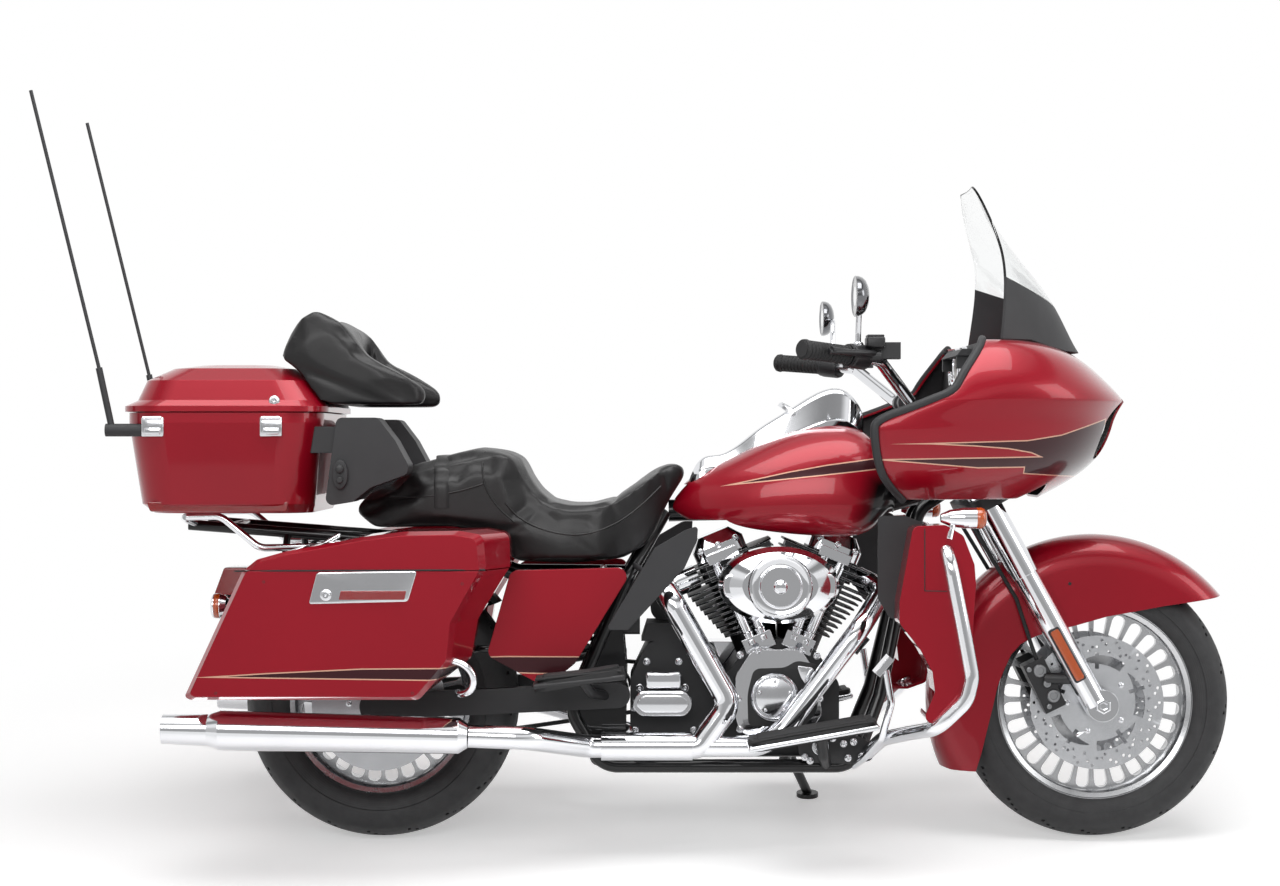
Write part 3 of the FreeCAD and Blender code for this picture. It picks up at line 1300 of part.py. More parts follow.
arms = swing_arm()
rear_axle = rod(V(0, -swing_spread, tyre_radius), V(0, swing_spread, tyre_radius), axle_radius)
bridge = block(swing_pivot_x - 170, swing_pivot_x - 130, -swing_spread, swing_spread, swing_pivot_z - 16,
               swing_pivot_z + 16)
rear_room = wheel_turn([(0, -rear_tyre_width / 2 - cut_over), (tyre_radius + cut_over * 4, -rear_tyre_width / 2 - cut_over),
                        (tyre_radius + cut_over * 4, rear_tyre_width / 2 + cut_over),
                        (0, rear_tyre_width / 2 + cut_over)], 0, tyre_radius)
swingarm = fused(arms + [mirrored(piece) for piece in arms] + [rear_axle, bridge.cut(rear_room)])
node("swingarm", swingarm)
shock_low = V(70, 176, 352)
shock_top = V(230, 176, 588)
shock = lathe(shock_low, shock_top, [(0.0, 18), (0.1, 24), (0.5, 24), (0.52, 30), (0.95, 30), (1.0, 16)])
shock_eyes = [rod(V(shock_low.x, swing_spread + swing_width / 2, shock_low.z), V(shock_low.x, 190, shock_low.z), 14),
              rod(V(shock_top.x, seat_rail_spread + seat_rail_radius, shock_top.z + 12), V(shock_top.x, 190, shock_top.z), 10)]
shock = fused([shock] + shock_eyes).cut([swingarm, frame_shape])
node("rear_shocks", both(shock))
frame_shape = frame_shape.cut([swingarm])
belt_y = rear_hub_half + pulley_width / 2
belt_outer = two_circle_wire(0, tyre_radius, pulley_radius + seat_gap + belt_thickness, 640, 330,
                             engine_pulley_radius + belt_thickness, 0)
belt_inner = two_circle_wire(0, tyre_radius, pulley_radius + seat_gap, 640, 330, engine_pulley_radius, 0)
belt = slab(belt_outer, belt_y - belt_width / 2, belt_y + belt_width / 2).cut(
    slab(belt_inner, -far, far))
node("drive_belt", belt)
rear_hoop = guard(0, rear_fender_radius, rear_fender_half, fender_wall)
rear_fender_side = closed([V(-345, 0, 430), V(-250, 0, 430), V(-190, 0, 560), V(100, 0, 590), V(215, 0, 520),
                           V(290, 0, 540), V(270, 0, 720), V(-345, 0, 720)])
rear_fender = rear_hoop.common(slab(rear_fender_side, -far, far)).cut(frame_shape)
node("rear_fender", max(rear_fender.Solids, key=lambda solid: solid.Volume))


# Side covers and heat deflectors

cover_shares = ((0.0, 0.266), (0.163, 0.974), (1.0, 1.0), (0.60, 0.20), (0.40, 0.0))
side_cover_rear = 250.0
side_cover_length = 322.0
side_cover_low = 360.0
side_cover_height = 262.0
side_cover_inner = 196.0
side_cover_outer = 226.0
side_cover = slab(rounded(side_points(cover_shares, side_cover_rear, side_cover_low, side_cover_length,
                                      side_cover_height), hinge_length / 3), side_cover_inner, side_cover_outer)
cover_stud = [rod(V(x, seat_rail_spread + seat_rail_radius - 1, 600), V(x, side_cover_inner, 600), 7)
              for x in (340, 470)]
side_cover = fused([side_cover] + cover_stud).cut([frame_shape, seat, shock])
side_cover = max(side_cover.Solids, key=lambda solid: solid.Volume)
node("side_covers", both(side_cover))
deflector_shares = ((0.0, 0.0), (0.24, 0.0), (0.85, 0.59), (0.99, 0.86), (1.0, 1.0), (0.86, 0.96), (0.53, 0.79))
deflector_rear = 511.0
deflector_low = 488.0
deflector_inner = 252.0
deflector = slab(rounded(side_points(deflector_shares, deflector_rear, deflector_low, 200, 226), 6),
                 deflector_inner, deflector_inner + 10)
deflector_arm = rod(V(572, 114, 622), V(598, deflector_inner + 2, 612), 6)
deflector = fused([deflector, deflector_arm]).cut([frame_shape, seat, tank_whole, side_cover])
deflector = max(deflector.Solids, key=lambda solid: solid.Volume)
node("air_deflectors", both(deflector))


# Footboards, pegs, pedals

def board(length, width, mid_x, mid_z, inner):
    plate = Part.Face(rounded([V(mid_x - length / 2, inner, mid_z - board_thickness / 2),
                               V(mid_x + length / 2, inner, mid_z - board_thickness / 2),
                               V(mid_x + length / 2, inner + width, mid_z - board_thickness / 2),
                               V(mid_x - length / 2, inner + width, mid_z - board_thickness / 2)], width * 0.4))
    plate = plate.extrude(V(0, 0, board_thickness))
    pad_length = length * 0.9
    pad_width = width * 0.8
    pad_inner = inner + width * 0.1
    pad = Part.Face(rounded([V(mid_x - pad_length / 2, pad_inner, mid_z + board_thickness / 2),
                             V(mid_x + pad_length / 2, pad_inner, mid_z + board_thickness / 2),
                             V(mid_x + pad_length / 2, pad_inner + pad_width, mid_z + board_thickness / 2),
                             V(mid_x - pad_length / 2, pad_inner + pad_width, mid_z + board_thickness / 2)],
                            pad_width * 0.4)).extrude(V(0, 0, rubber_height))
    axis_y = inner - hinge_radius
    start = V(mid_x - length * 0.3, axis_y, mid_z)
    end = V(mid_x + length * 0.3, axis_y, mid_z)
    quarter = (end - start) * 0.25
    knuckles = [rod(start, start + quarter, hinge_radius), rod(end - quarter, end, hinge_radius)]
    leaves = [block(p.x, p.x + quarter.x, axis_y, inner + hinge_radius, mid_z - hinge_pin_radius,
                    mid_z + hinge_pin_radius) for p in (start, end - quarter)]
    hole = rod(start - quarter, end + quarter, hinge_pin_radius + running_gap)
    moving = fused([plate, pad] + knuckles + leaves).cut(hole)
    pin = rod(start - V(seat_gap, 0, 0), end + V(seat_gap, 0, 0), hinge_pin_radius)
    mount = rod(start + quarter + V(seat_gap, 0, 0), end - quarter - V(seat_gap, 0, 0), hinge_radius)
    return moving, fused([pin, mount]), V(mid_x, axis_y, mid_z)


def tilted(shape, mid_x, mid_z):
    return turned(shape, V(mid_x, 0, mid_z), V(0, 1, 0), -board_tilt)


rider_board, rider_pin, rider_axis = board(board_length, board_width, board_mid_x, board_mid_z, board_inner)
rider_board = tilted(rider_board, board_mid_x, board_mid_z)
rider_pin = tilted(rider_pin, board_mid_x, board_mid_z)
rear_board, rear_pin, rear_axis = board(rear_board_length, rear_board_width, rear_board_mid_x, rear_board_mid_z,
                                        board_inner)
rear_board = tilted(rear_board, rear_board_mid_x, rear_board_mid_z)
rear_pin = tilted(rear_pin, rear_board_mid_x, rear_board_mid_z)
arm_x = board_mid_x + board_width * 0.2
arm_z = board_mid_z + board_width * 0.2 * math.tan(math.radians(board_tilt))
rider_arm = tube([V(arm_x + 20, rail_spread, rail_z), V(arm_x + 10, 190, 206), V(arm_x, rider_axis.y, arm_z)], 30, 12)
rear_arm = tube([V(520, rail_spread, 330), V(480, 200, 344), V(rear_board_mid_x, rear_axis.y, rear_board_mid_z)], 30, 11)
board_arm = fused([rider_arm, rider_pin]).cut([frame_shape, rider_board])
passenger_arm = fused([rear_arm, rear_pin]).cut([frame_shape, rear_board, swingarm, side_cover])
node("footboard_arms", Part.makeCompound([board_arm, mirrored(board_arm), passenger_arm, mirrored(passenger_arm)]))
node("rider_board_left", rider_board)
node("rider_board_right", mirrored(rider_board))
node("passenger_board_left", rear_board)
node("passenger_board_right", mirrored(rear_board))
pedal_y = 268.0
pedal_pad = V(1112, 0, 412)
pedal_arm = tube([V(rail_front_x, rail_spread, rail_z), V(1080, 180, 200), V(1112, 236, 250), V(1130, pedal_y, 330),
                  V(1118, pedal_y, 402)], 30, 8)
pad_shape = turned(block(pedal_pad.x - 24, pedal_pad.x + 24, pedal_y - 30, pedal_y + 30, pedal_pad.z - 7,
                         pedal_pad.z + 7), V(pedal_pad.x, pedal_y, pedal_pad.z), V(0, 1, 0), -50)
pedal = fused([pedal_arm, pad_shape]).cut([frame_shape, guard_bar, lower_fairing])
node("foot_controls", both(max(pedal.Solids, key=lambda solid: solid.Volume)))


# Side stand on the left rail

lean = math.radians(lean_angle)
stand_pivot = V(stand_pivot_x, stand_pivot_y, stand_pivot_z)
stand_ground_z = stand_foot_y * math.tan(lean)
ground_up = V(0, -math.sin(lean), math.cos(lean))
stand_foot = V(stand_foot_x, stand_foot_y, stand_ground_z) + ground_up * stand_foot_thickness
stand_leg = stand_foot - stand_pivot
stand_folded = V(-0.96, 0.22, 0.03)
stand_axis = stand_leg.cross(stand_folded)
stand_axis.normalize()
stand_hub_half = 14.0
stand_hub = rod(stand_pivot - stand_axis * stand_hub_half, stand_pivot + stand_axis * stand_hub_half,
                stand_hub_radius)
stand_hole = rod(stand_pivot - stand_axis * stand_hub_half * 2, stand_pivot + stand_axis * stand_hub_half * 2,
                 stand_radius * 0.8 + seat_gap)
stand_rod = rod(stand_pivot, stand_foot + ground_up * stand_radius * 0.2, stand_radius)
stand_pad = rod(stand_foot - ground_up * stand_foot_thickness, stand_foot + ground_up * stand_foot_thickness * 0.3,
                stand_foot_radius)
side_stand = fused([stand_hub, stand_rod, stand_pad]).cut(stand_hole)
stand_side = stand_pivot - stand_axis * (stand_hub_half + seat_gap)
stand_plate = rod(stand_side - stand_axis * stand_foot_thickness * 2.4, stand_side, stand_radius * 1.3)
stand_pin = rod(stand_side - stand_axis * stand_foot_thickness / 2,
                stand_pivot + stand_axis * (stand_hub_half + stand_foot_thickness), stand_radius * 0.8)
stand_arm = rod(V(stand_pivot_x, rail_spread, rail_z), stand_side - stand_axis * stand_foot_thickness * 1.8,
                stand_radius * 0.9)
stand_mount = fused([stand_pin, stand_plate, stand_arm])
frame_shape = fused([frame_shape, stand_mount])
node("frame", frame_shape)
node("side_stand", side_stand)


# Rear rack, lamps, plate bracket

rack_y = 205.0
rack = tube([V(-410, rack_y, 732), V(-335, rack_y, 734), V(-250, rack_y, 664), V(-120, rack_y - 40, 664),
             V(-80, seat_rail_spread, 690)], 40, 8)
rack_foot = tube([V(-410, rack_y + 6, 732), V(-425, rack_y - 50, 728), V(-400, seat_rail_spread, 712)], 20, 8)
rack = fused([rack, rack_foot]).cut([frame_shape, box_base, seat, bag_base, bag_lid, rear_fender])
node("luggage_rails", both(max(rack.Solids, key=lambda solid: solid.Volume)))
lamp_bar_z = 533.0
tail_lamp = slab(rounded([V(-374, 0, 552), V(-300, 0, 552), V(-300, 0, 612), V(-352, 0, 612)], 14), -46, 46)
tail_lamp = tail_lamp.cut(rear_hoop)
tail_lamp = max(tail_lamp.Solids, key=lambda solid: solid.Volume)
plate_hole_radius = 3.5
plate_hole_spread = 100.0
plate_hole_z = 480.0
plate_x = -352.0
plate_bracket = slab(rounded([V(plate_x - 6, 0, 440), V(plate_x, 0, 440), V(plate_x, 0, 548), V(plate_x - 6, 0, 548)], 1),
                     -65, 65)
plate_neck = block(plate_x - 1, -220, -30, 30, 528, 548)
plate_holes = [rod(V(plate_x - 40, y, plate_hole_z), V(plate_x + 20, y, plate_hole_z), plate_hole_radius)
               for y in (-plate_hole_spread / 2, plate_hole_spread / 2)]
plate_bracket = fused([plate_bracket, plate_neck]).cut(plate_holes + [rear_hoop])
plate_bracket = max(plate_bracket.Solids, key=lambda solid: solid.Volume)
node("plate_bracket", plate_bracket)


def turn_signal(x, y, z, direction, length, radius):
    end = V(x + direction * length, y, z)
    return lathe(V(x, y, z), end, [(0.0, radius * 0.4), (0.2, radius * 0.8), (0.5, radius), (0.85, radius),
                                   (0.95, radius * 0.8), (1.0, radius * 0.3)])


rear_signal = fused([turn_signal(-322, 150, lamp_bar_z, -1, 44, 27),
                     rod(V(-330, 20, 541), V(-330, 140, 541), 8)]).cut([plate_bracket, rear_hoop, tail_lamp])
front_signal = fused([turn_signal(1222, 384, 735, 1, 96, 22),
                      rod(V(1250, 384, 735), V(1238, 400, 690), 7)]).cut([lower_fairing, guard_bar, fairing])
front_signal = max(front_signal.Solids, key=lambda solid: solid.Volume)
rear_signal = max(rear_signal.Solids, key=lambda solid: solid.Volume)
node("signal_lamps", Part.makeCompound([rear_signal, mirrored(rear_signal), front_signal, mirrored(front_signal),
                                        tail_lamp]))


# Lean onto the side stand, stand on the ground and put the origin under the middle

def leaned(shape):
    copy = shape.copy()
    copy.rotate(V(0, 0, 0), V(1, 0, 0), -lean_angle)
    return copy


parked = {name: leaned(shape) for name, shape in nodes.items()}
for name, shape in parked.items():
    if not shape.isValid() or not shape.Solids:
        print("check", name, len(shape.Solids), shape.isValid())
low_z = min(parked[name].optimalBoundingBox(False).ZMin for name in ("front_tyre", "rear_tyre"))
whole_box = FreeCAD.BoundBox()
for shape in parked.values():
    whole_box.add(shape.optimalBoundingBox(False))
shift = V(-(whole_box.XMin + whole_box.XMax) / 2, -(whole_box.YMin + whole_box.YMax) / 2, -whole_box.ZMin)
os.makedirs("parts", exist_ok=True)
for name, shape in parked.items():
    shape.translate(shift)
    shape.exportStep("parts/" + name + ".step")
print(len(parked), "nodes; tyres lowest", round(low_z, 3), "whole lowest", round(whole_box.ZMin, 3), "shift", shift)
print("box", [round(d) for d in (whole_box.XLength, whole_box.YLength, whole_box.ZLength)])
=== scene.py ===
import json
import math

import bpy
from mathutils import Matrix, Vector

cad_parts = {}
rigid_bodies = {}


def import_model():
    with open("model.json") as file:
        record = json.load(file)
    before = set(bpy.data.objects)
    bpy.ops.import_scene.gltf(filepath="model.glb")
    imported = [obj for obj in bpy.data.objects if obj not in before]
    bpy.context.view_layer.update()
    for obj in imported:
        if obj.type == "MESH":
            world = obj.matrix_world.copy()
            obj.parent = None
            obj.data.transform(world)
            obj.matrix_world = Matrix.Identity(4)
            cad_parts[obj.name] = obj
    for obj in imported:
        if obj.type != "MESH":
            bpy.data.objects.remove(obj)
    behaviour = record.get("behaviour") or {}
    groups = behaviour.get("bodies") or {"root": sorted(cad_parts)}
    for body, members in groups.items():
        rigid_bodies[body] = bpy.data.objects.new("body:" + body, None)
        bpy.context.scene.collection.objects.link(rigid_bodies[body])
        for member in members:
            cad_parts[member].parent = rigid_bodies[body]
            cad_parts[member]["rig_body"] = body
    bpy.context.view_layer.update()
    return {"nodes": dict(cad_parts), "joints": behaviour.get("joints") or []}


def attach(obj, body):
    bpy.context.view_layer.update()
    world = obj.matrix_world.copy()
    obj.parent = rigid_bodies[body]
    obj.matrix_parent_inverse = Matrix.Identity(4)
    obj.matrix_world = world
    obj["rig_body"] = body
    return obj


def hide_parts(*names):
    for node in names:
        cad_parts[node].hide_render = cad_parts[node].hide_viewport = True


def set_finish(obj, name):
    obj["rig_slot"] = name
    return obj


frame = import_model()
nodes = frame["nodes"]
bpy.ops.object.select_all(action="DESELECT")

# The motorcycle leans on its side stand. Pieces are drawn on the upright machine, x forward from
# the rear axle, y to the left and z up from the ground, and are then laid over with park.
rear_wheel = [joint for joint in frame["joints"] if joint["name"] == "rear_wheel_spin"][0]
tyre_radius = 0.310
left = Vector(rear_wheel["axis"]).normalized()
upward = Vector((1, 0, 0)).cross(left).normalized()
origin = Vector(rear_wheel["pos_m"]) - upward * tyre_radius
turn = Matrix(((1, left.x, upward.x), (0, left.y, upward.y), (0, left.z, upward.z)))
park = Matrix.Translation(origin) @ turn.to_4x4()
upright = park.inverted()
wheelbase = 1.613
mm = 0.001


# Materials

def tone(red, green, blue):
    def linear(value):
        share = value / 255
        return share / 12.92 if share <= 0.04045 else ((share + 0.055) / 1.055) ** 2.4
    return (linear(red), linear(green), linear(blue), 1.0)


def wired(tree, kind, **values):
    """A new node; each value sets an input, or feeds it where it is another node's output."""
    node = tree.nodes.new("ShaderNode" + kind)
    for name, value in values.items():
        socket = node.inputs[name.replace("_", " ")]
        if isinstance(value, bpy.types.NodeSocket):
            tree.links.new(value, socket)
        else:
            socket.default_value = value
    return node


def worked(tree, operation, *values):
    """A sum of numbers and of other nodes' outputs."""
    node = tree.nodes.new("ShaderNodeMath")
    node.operation = operation
    for value, socket in zip(values, node.inputs):
        if isinstance(value, (int, float)):
            socket.default_value = value
        else:
            tree.links.new(value, socket)
    return node.outputs[0]


class Finish:
    """A material's nodes, with short calls for the ones that this machine's finishes use."""

    def __init__(self, name, colour, metallic=0.0, roughness=0.5):
        self.material = bpy.data.materials.new(name)
        self.material.use_nodes = True
        self.tree = self.material.node_tree
        self.shader = self.tree.nodes["Principled BSDF"]
        self.shader.inputs["Base Color"].default_value = colour
        self.shader.inputs["Metallic"].default_value = metallic
        self.shader.inputs["Roughness"].default_value = roughness
        mapping = self.node("Mapping", Rotation=upright.to_euler(), Location=upright.to_translation(),
                            Vector=self.node("TexCoord").outputs["Object"])
        self.place = mapping.outputs["Vector"]

    def link(self, source, target):
        self.tree.links.new(source, target)

    def node(self, kind, **values):
        return wired(self.tree, kind, **values)

    def set(self, **values):
        for name, value in values.items():
            self.shader.inputs[name.replace("_", " ")].default_value = value
        return self

    def noise(self, scale, detail=3.0):
        return self.node("TexNoise", Scale=scale, Detail=detail, Roughness=0.55,
                         Vector=self.place).outputs["Fac"]

    def cells(self, scale, feature="F1"):
        node = self.node("TexVoronoi", Scale=scale, Vector=self.place)
        node.feature = feature
        return node.outputs["Distance"]

    def math(self, operation, *values):
        return worked(self.tree, operation, *values)

    def ramp(self, factor, *stops):
        node = self.node("ValToRGB", Fac=factor)
        elements = node.color_ramp.elements
        while len(elements) < len(stops):
            elements.new(0.5)
        for element, (place, colour) in zip(elements, stops):
            element.position = place
            element.color = colour if hasattr(colour, "__len__") else (colour, colour, colour, 1)
        return node.outputs["Color"]

    def mix(self, factor, first, second):
        node = self.node("Mix")
        node.data_type = "RGBA"
        self.link(factor, node.inputs["Factor"])
        for value, socket in ((first, node.inputs[6]), (second, node.inputs[7])):
            if hasattr(value, "__len__"):
                socket.default_value = value
            else:
                self.link(value, socket)
        return node.outputs[2]

    def bump(self, height, strength, depth):
        node = self.node("Bump", Strength=strength, Distance=depth, Height=height)
        if self.shader.inputs["Normal"].links:
            self.link(self.shader.inputs["Normal"].links[0].from_socket, node.inputs["Normal"])
        self.link(node.outputs["Normal"], self.shader.inputs["Normal"])

    def soften(self, radius):
        """Rounds the look of sharp edges."""
        node = self.node("Bevel", Radius=radius)
        node.samples = 4
        self.link(node.outputs["Normal"], self.shader.inputs["Normal"])
        return node.outputs["Normal"]

    def edges(self, radius):
        """White along sharp edges, black elsewhere."""
        soft_normal = self.soften(radius)
        geometry = self.node("NewGeometry")
        agree = self.node("VectorMath")
        agree.operation = "DOT_PRODUCT"
        self.link(soft_normal, agree.inputs[0])
        self.link(geometry.outputs["Normal"], agree.inputs[1])
        return self.math("LESS_THAN", agree.outputs["Value"], 0.965)

    def colour(self, source):
        self.link(source, self.shader.inputs["Base Color"])
        return self

    def rough(self, source, low, high):
        node = self.node("MapRange", To_Min=low, To_Max=high, Value=source)
        self.link(node.outputs["Result"], self.shader.inputs["Roughness"])
        return self

    def axis_place(self, x, z):
        """Distance from a wheel's axle line, and the angle round it."""
        split = self.node("SeparateXYZ", Vector=self.place)
        across = self.math("SUBTRACT", split.outputs["X"], x)
        above = self.math("SUBTRACT", split.outputs["Z"], z)
        reach = self.math("SQRT", self.math("ADD", self.math("MULTIPLY", across, across),
                                            self.math("MULTIPLY", above, above)))
        return reach, self.math("ARCTAN2", above, across), split.outputs["Y"]


def inside(finish, outline):
    """How far a point lies inside a convex outline on the machine's side."""
    split = finish.node("SeparateXYZ", Vector=finish.place)
    nearest = None
    middle_x = sum(x for x, z in outline) / len(outline) / 1000
    middle_z = sum(z for x, z in outline) / len(outline) / 1000
    for (x0, z0), (x1, z1) in zip(outline, outline[1:] + outline[:1]):
        run, rise = (x1 - x0) / 1000, (z1 - z0) / 1000
        length = math.hypot(run, rise)
        across, along = rise / length, -run / length
        level = across * x0 / 1000 + along * z0 / 1000
        if across * middle_x + along * middle_z < level:
            across, along, level = -across, -along, -level
        share = finish.math("MULTIPLY_ADD", split.outputs["X"], across, -level)
        depth = finish.math("MULTIPLY_ADD", split.outputs["Z"], along, share)
        nearest = depth if nearest is None else finish.math("MINIMUM", nearest, depth)
    return nearest


def stripe(finish, base, outlines, cuts, fill, line, width=0.0013):
    """A painted stripe: the outlines joined, less the cuts, filled, and edged with a thin line."""
    depth = None
    for outline in outlines:
        one = inside(finish, outline)
        depth = one if depth is None else finish.math("MAXIMUM", depth, one)
    for outline in cuts:
        depth = finish.math("MINIMUM", depth, finish.math("MULTIPLY", inside(finish, outline), -1.0))
    filled = finish.math("GREATER_THAN", depth, 0.0)
    edge = finish.math("LESS_THAN", finish.math("ABSOLUTE", depth), width)
    return finish.mix(edge, finish.mix(filled, base, fill), line)


candy = tone(164, 6, 32)
candy_deep = tone(132, 3, 24)
maroon = tone(58, 14, 22)
gold = tone(226, 176, 152)


def painted(name, stripes=(), colour=candy, deep=candy_deep, painted_shade_outline=None):
    """Clear-coated paint. Its stripes are outlines and cuts in millimetres on the machine's side. A last
    outline, if given, is painted shade: inside it the paint darkens to near-black.
    """
    finish = Finish(name, colour, 0.25, 0.32)
    finish.set(Coat_Weight=1.0, Coat_Roughness=0.03, Coat_IOR=1.3, Specular_IOR_Level=0.25)
    flake = finish.noise(2600.0, 1.0)
    drift = finish.noise(2.2, 2.0)
    base = finish.mix(finish.math("MULTIPLY_ADD", drift, 0.6, 0.1), colour, deep)
    base = finish.mix(finish.math("MULTIPLY", flake, 0.18), base,
                      tone(188, 22, 48) if colour is candy else deep)
    for outlines, cuts in stripes:
        base = stripe(finish, base, outlines, cuts, maroon, gold)
    # Painted shade: inside the outline the paint darkens to near-black within about 45 mm of its edge.
    if painted_shade_outline:
        depth = finish.math("MULTIPLY", inside(finish, painted_shade_outline), 22.0)
        base = finish.mix(finish.ramp(depth, (0.0, 0.0), (1.0, 1.0)), base, tone(14, 10, 12))
    finish.colour(base)
    finish.rough(flake, 0.24, 0.4)
    finish.soften(0.003)
    finish.bump(finish.noise(240.0, 2.0), 0.05, 0.0004)
    return finish.material


def plated(name, colour, low, high, streak=260.0):
    finish = Finish(name, colour, 1.0, low)
    finish.rough(finish.noise(streak, 4.0), low, high)
    finish.colour(finish.mix(finish.noise(7.0), colour, [c * 0.9 for c in colour[:3]] + [1.0]))
    finish.soften(0.002)
    finish.bump(finish.noise(30.0, 2.0), 0.03, 0.0006)
    return finish.material


def moulded(name, colour, low, high, grain=900.0, strength=0.12):
    finish = Finish(name, colour, 0.0, low)
    cells = finish.cells(grain)
    finish.rough(finish.noise(18.0, 4.0), low, high)
    finish.colour(finish.mix(finish.noise(11.0, 4.0), colour, [c * 1.5 + 0.003 for c in colour[:3]] + [1.0]))
    finish.soften(0.0025)
    finish.bump(cells, strength, 0.0004)
    return finish.material


def cast(name, colour, low, high, grain, strength, metallic=1.0):
    finish = Finish(name, colour, metallic, low)
    finish.rough(finish.noise(35.0, 5.0), low, high)
    finish.colour(finish.mix(finish.noise(9.0, 5.0), colour, [c * 0.72 for c in colour[:3]] + [1.0]))
    finish.bump(finish.noise(grain, 4.0), strength, 0.0008)
    return finish.material


def brushed_disc(name, x):
    finish = Finish(name, tone(196, 198, 202), 1.0, 0.28)
    reach, angle, side = finish.axis_place(x, tyre_radius)
    rings = finish.math("SINE", finish.math("MULTIPLY", reach, 9000.0))
    finish.rough(finish.math("MULTIPLY_ADD", rings, 0.5, 0.5), 0.22, 0.4)
    finish.colour(finish.mix(finish.noise(40.0, 5.0), tone(206, 207, 210), tone(184, 186, 189)))
    finish.bump(rings, 0.05, 0.0002)
    return finish.material


def tyre_rubber(name, x):
    finish = Finish(name, tone(38, 38, 40), 0.0, 0.62)
    reach, angle, side = finish.axis_place(x, tyre_radius)
    dust = finish.noise(26.0, 6.0)
    finish.colour(finish.mix(dust, tone(30, 30, 32), tone(56, 56, 57)))
    finish.rough(finish.noise(60.0, 4.0), 0.5, 0.78)
    ribs = finish.math("SINE", finish.math("MULTIPLY", reach, 1500.0))
    wall = finish.math("MULTIPLY", ribs, finish.math("LESS_THAN", reach, 0.262))
    finish.bump(wall, 0.14, 0.0006)
    finish.bump(finish.noise(700.0, 3.0), 0.12, 0.0004)
    return finish.material


def hide(name):
    finish = Finish(name, tone(24, 23, 24), 0.0, 0.4)
    finish.set(Specular_IOR_Level=0.34, Coat_Weight=0.1, Coat_Roughness=0.2)
    grain = finish.cells(620.0, "DISTANCE_TO_EDGE")
    finish.bump(finish.ramp(grain, (0.0, 0.0), (0.12, 1.0)), 0.16, 0.0005)
    finish.bump(finish.noise(60.0, 4.0), 0.08, 0.0016)
    finish.rough(finish.noise(24.0, 4.0), 0.3, 0.46)
    finish.colour(finish.mix(finish.noise(9.0, 4.0), tone(13, 12, 13), tone(24, 23, 24)))
    return finish.material


def glazed(name, colour, roughness, alpha):
    finish = Finish(name, colour, 0.0, roughness)
    finish.set(Transmission_Weight=alpha, IOR=1.45)
    finish.rough(finish.noise(90.0, 3.0), roughness, roughness + 0.03)
    finish.colour(finish.mix(finish.noise(5.0), colour, [c * 0.94 for c in colour[:3]] + [1.0]))
    return finish.material


def lens(name, colour, deep):
    finish = Finish(name, colour, 0.0, 0.12)
    finish.set(Coat_Weight=1.0, Coat_Roughness=0.04, Transmission_Weight=0.25, IOR=1.49)
    split = finish.node("SeparateXYZ", Vector=finish.place)
    across = finish.math("SINE", finish.math("MULTIPLY", split.outputs["X"], 1400.0))
    up = finish.math("SINE", finish.math("MULTIPLY", split.outputs["Z"], 1400.0))
    prism = finish.math("MULTIPLY", across, up)
    finish.bump(prism, 0.3, 0.0006)
    finish.colour(finish.mix(finish.math("MULTIPLY_ADD", prism, 0.5, 0.5), colour, deep))
    return finish.material


def finned(name):
    """Black enamel on cast fins, bright where their edges are machined."""
    finish = Finish(name, tone(22, 22, 24), 0.3, 0.45)
    bright = finish.edges(0.0016)
    finish.colour(finish.mix(bright, tone(22, 22, 24), tone(210, 211, 214)))
    finish.rough(finish.math("MULTIPLY_ADD", finish.noise(60.0), 0.3, finish.math("MULTIPLY", bright, -0.4)),
                 0.36, 0.56)
    finish.bump(finish.noise(1500.0), 0.2, 0.0006)
    return finish.material


# Where the photograph was taken, in millimetres, and its pixels for each millimetre in the middle
camera_x, camera_far, camera_z = 585, 5400, 894
photo_scale = 0.4385
photo_width, focal_pixels = 1280, 2368
middle_px, middle_py = 640, 443


def seen_at(px, py, out):
    """Millimetres on the machine for a pixel, on a surface that far out from the middle."""
    scale = photo_scale * camera_far / (camera_far - out)
    return camera_x + (px - middle_px) / scale, camera_z + (middle_py - py) / scale


def traced(points, out):
    return [seen_at(px, py, out) for px, py in points]


fairing_out, tank_out, lower_out = 380, 170, 300
fairing_stripe = (
    [traced([(840, 446.2), (1039, 440.4), (1095, 438.8), (1095, 477.4), (1078, 476), (1046, 473.6),
             (904, 468.8),
             (840, 469.5)], fairing_out),
     traced([(1030, 440.8), (1075, 434), (1125, 434), (1125, 480), (1078, 477), (1030, 474)], fairing_out),
     traced([(1068, 435.2), (1125, 418), (1125, 470), (1068, 470)], fairing_out)],
    [traced([(800, 443), (930, 443.8), (975, 445.9), (1010.7, 448.6), (1035.7, 452.7), (1047, 457),
             (800, 461)], fairing_out)])
tank_stripe = ([traced([(731, 485.2), (789, 472.3), (827, 465.3), (886, 457.5), (886, 468.4)], tank_out)], [])
bag_stripe = ([[(-316, 405.2), (-191, 413), (4.6, 422.3), (270, 424), (270, 397), (4.6, 400.8)]], [])
cover_stripe = ([[(180, 428), (285, 427.5), (413, 431), (620, 437), (620, 385), (350, 391), (180, 397)]], [])
paint = painted("candy_red_paint")
fairing_paint = painted("striped_fairing_paint", [fairing_stripe])
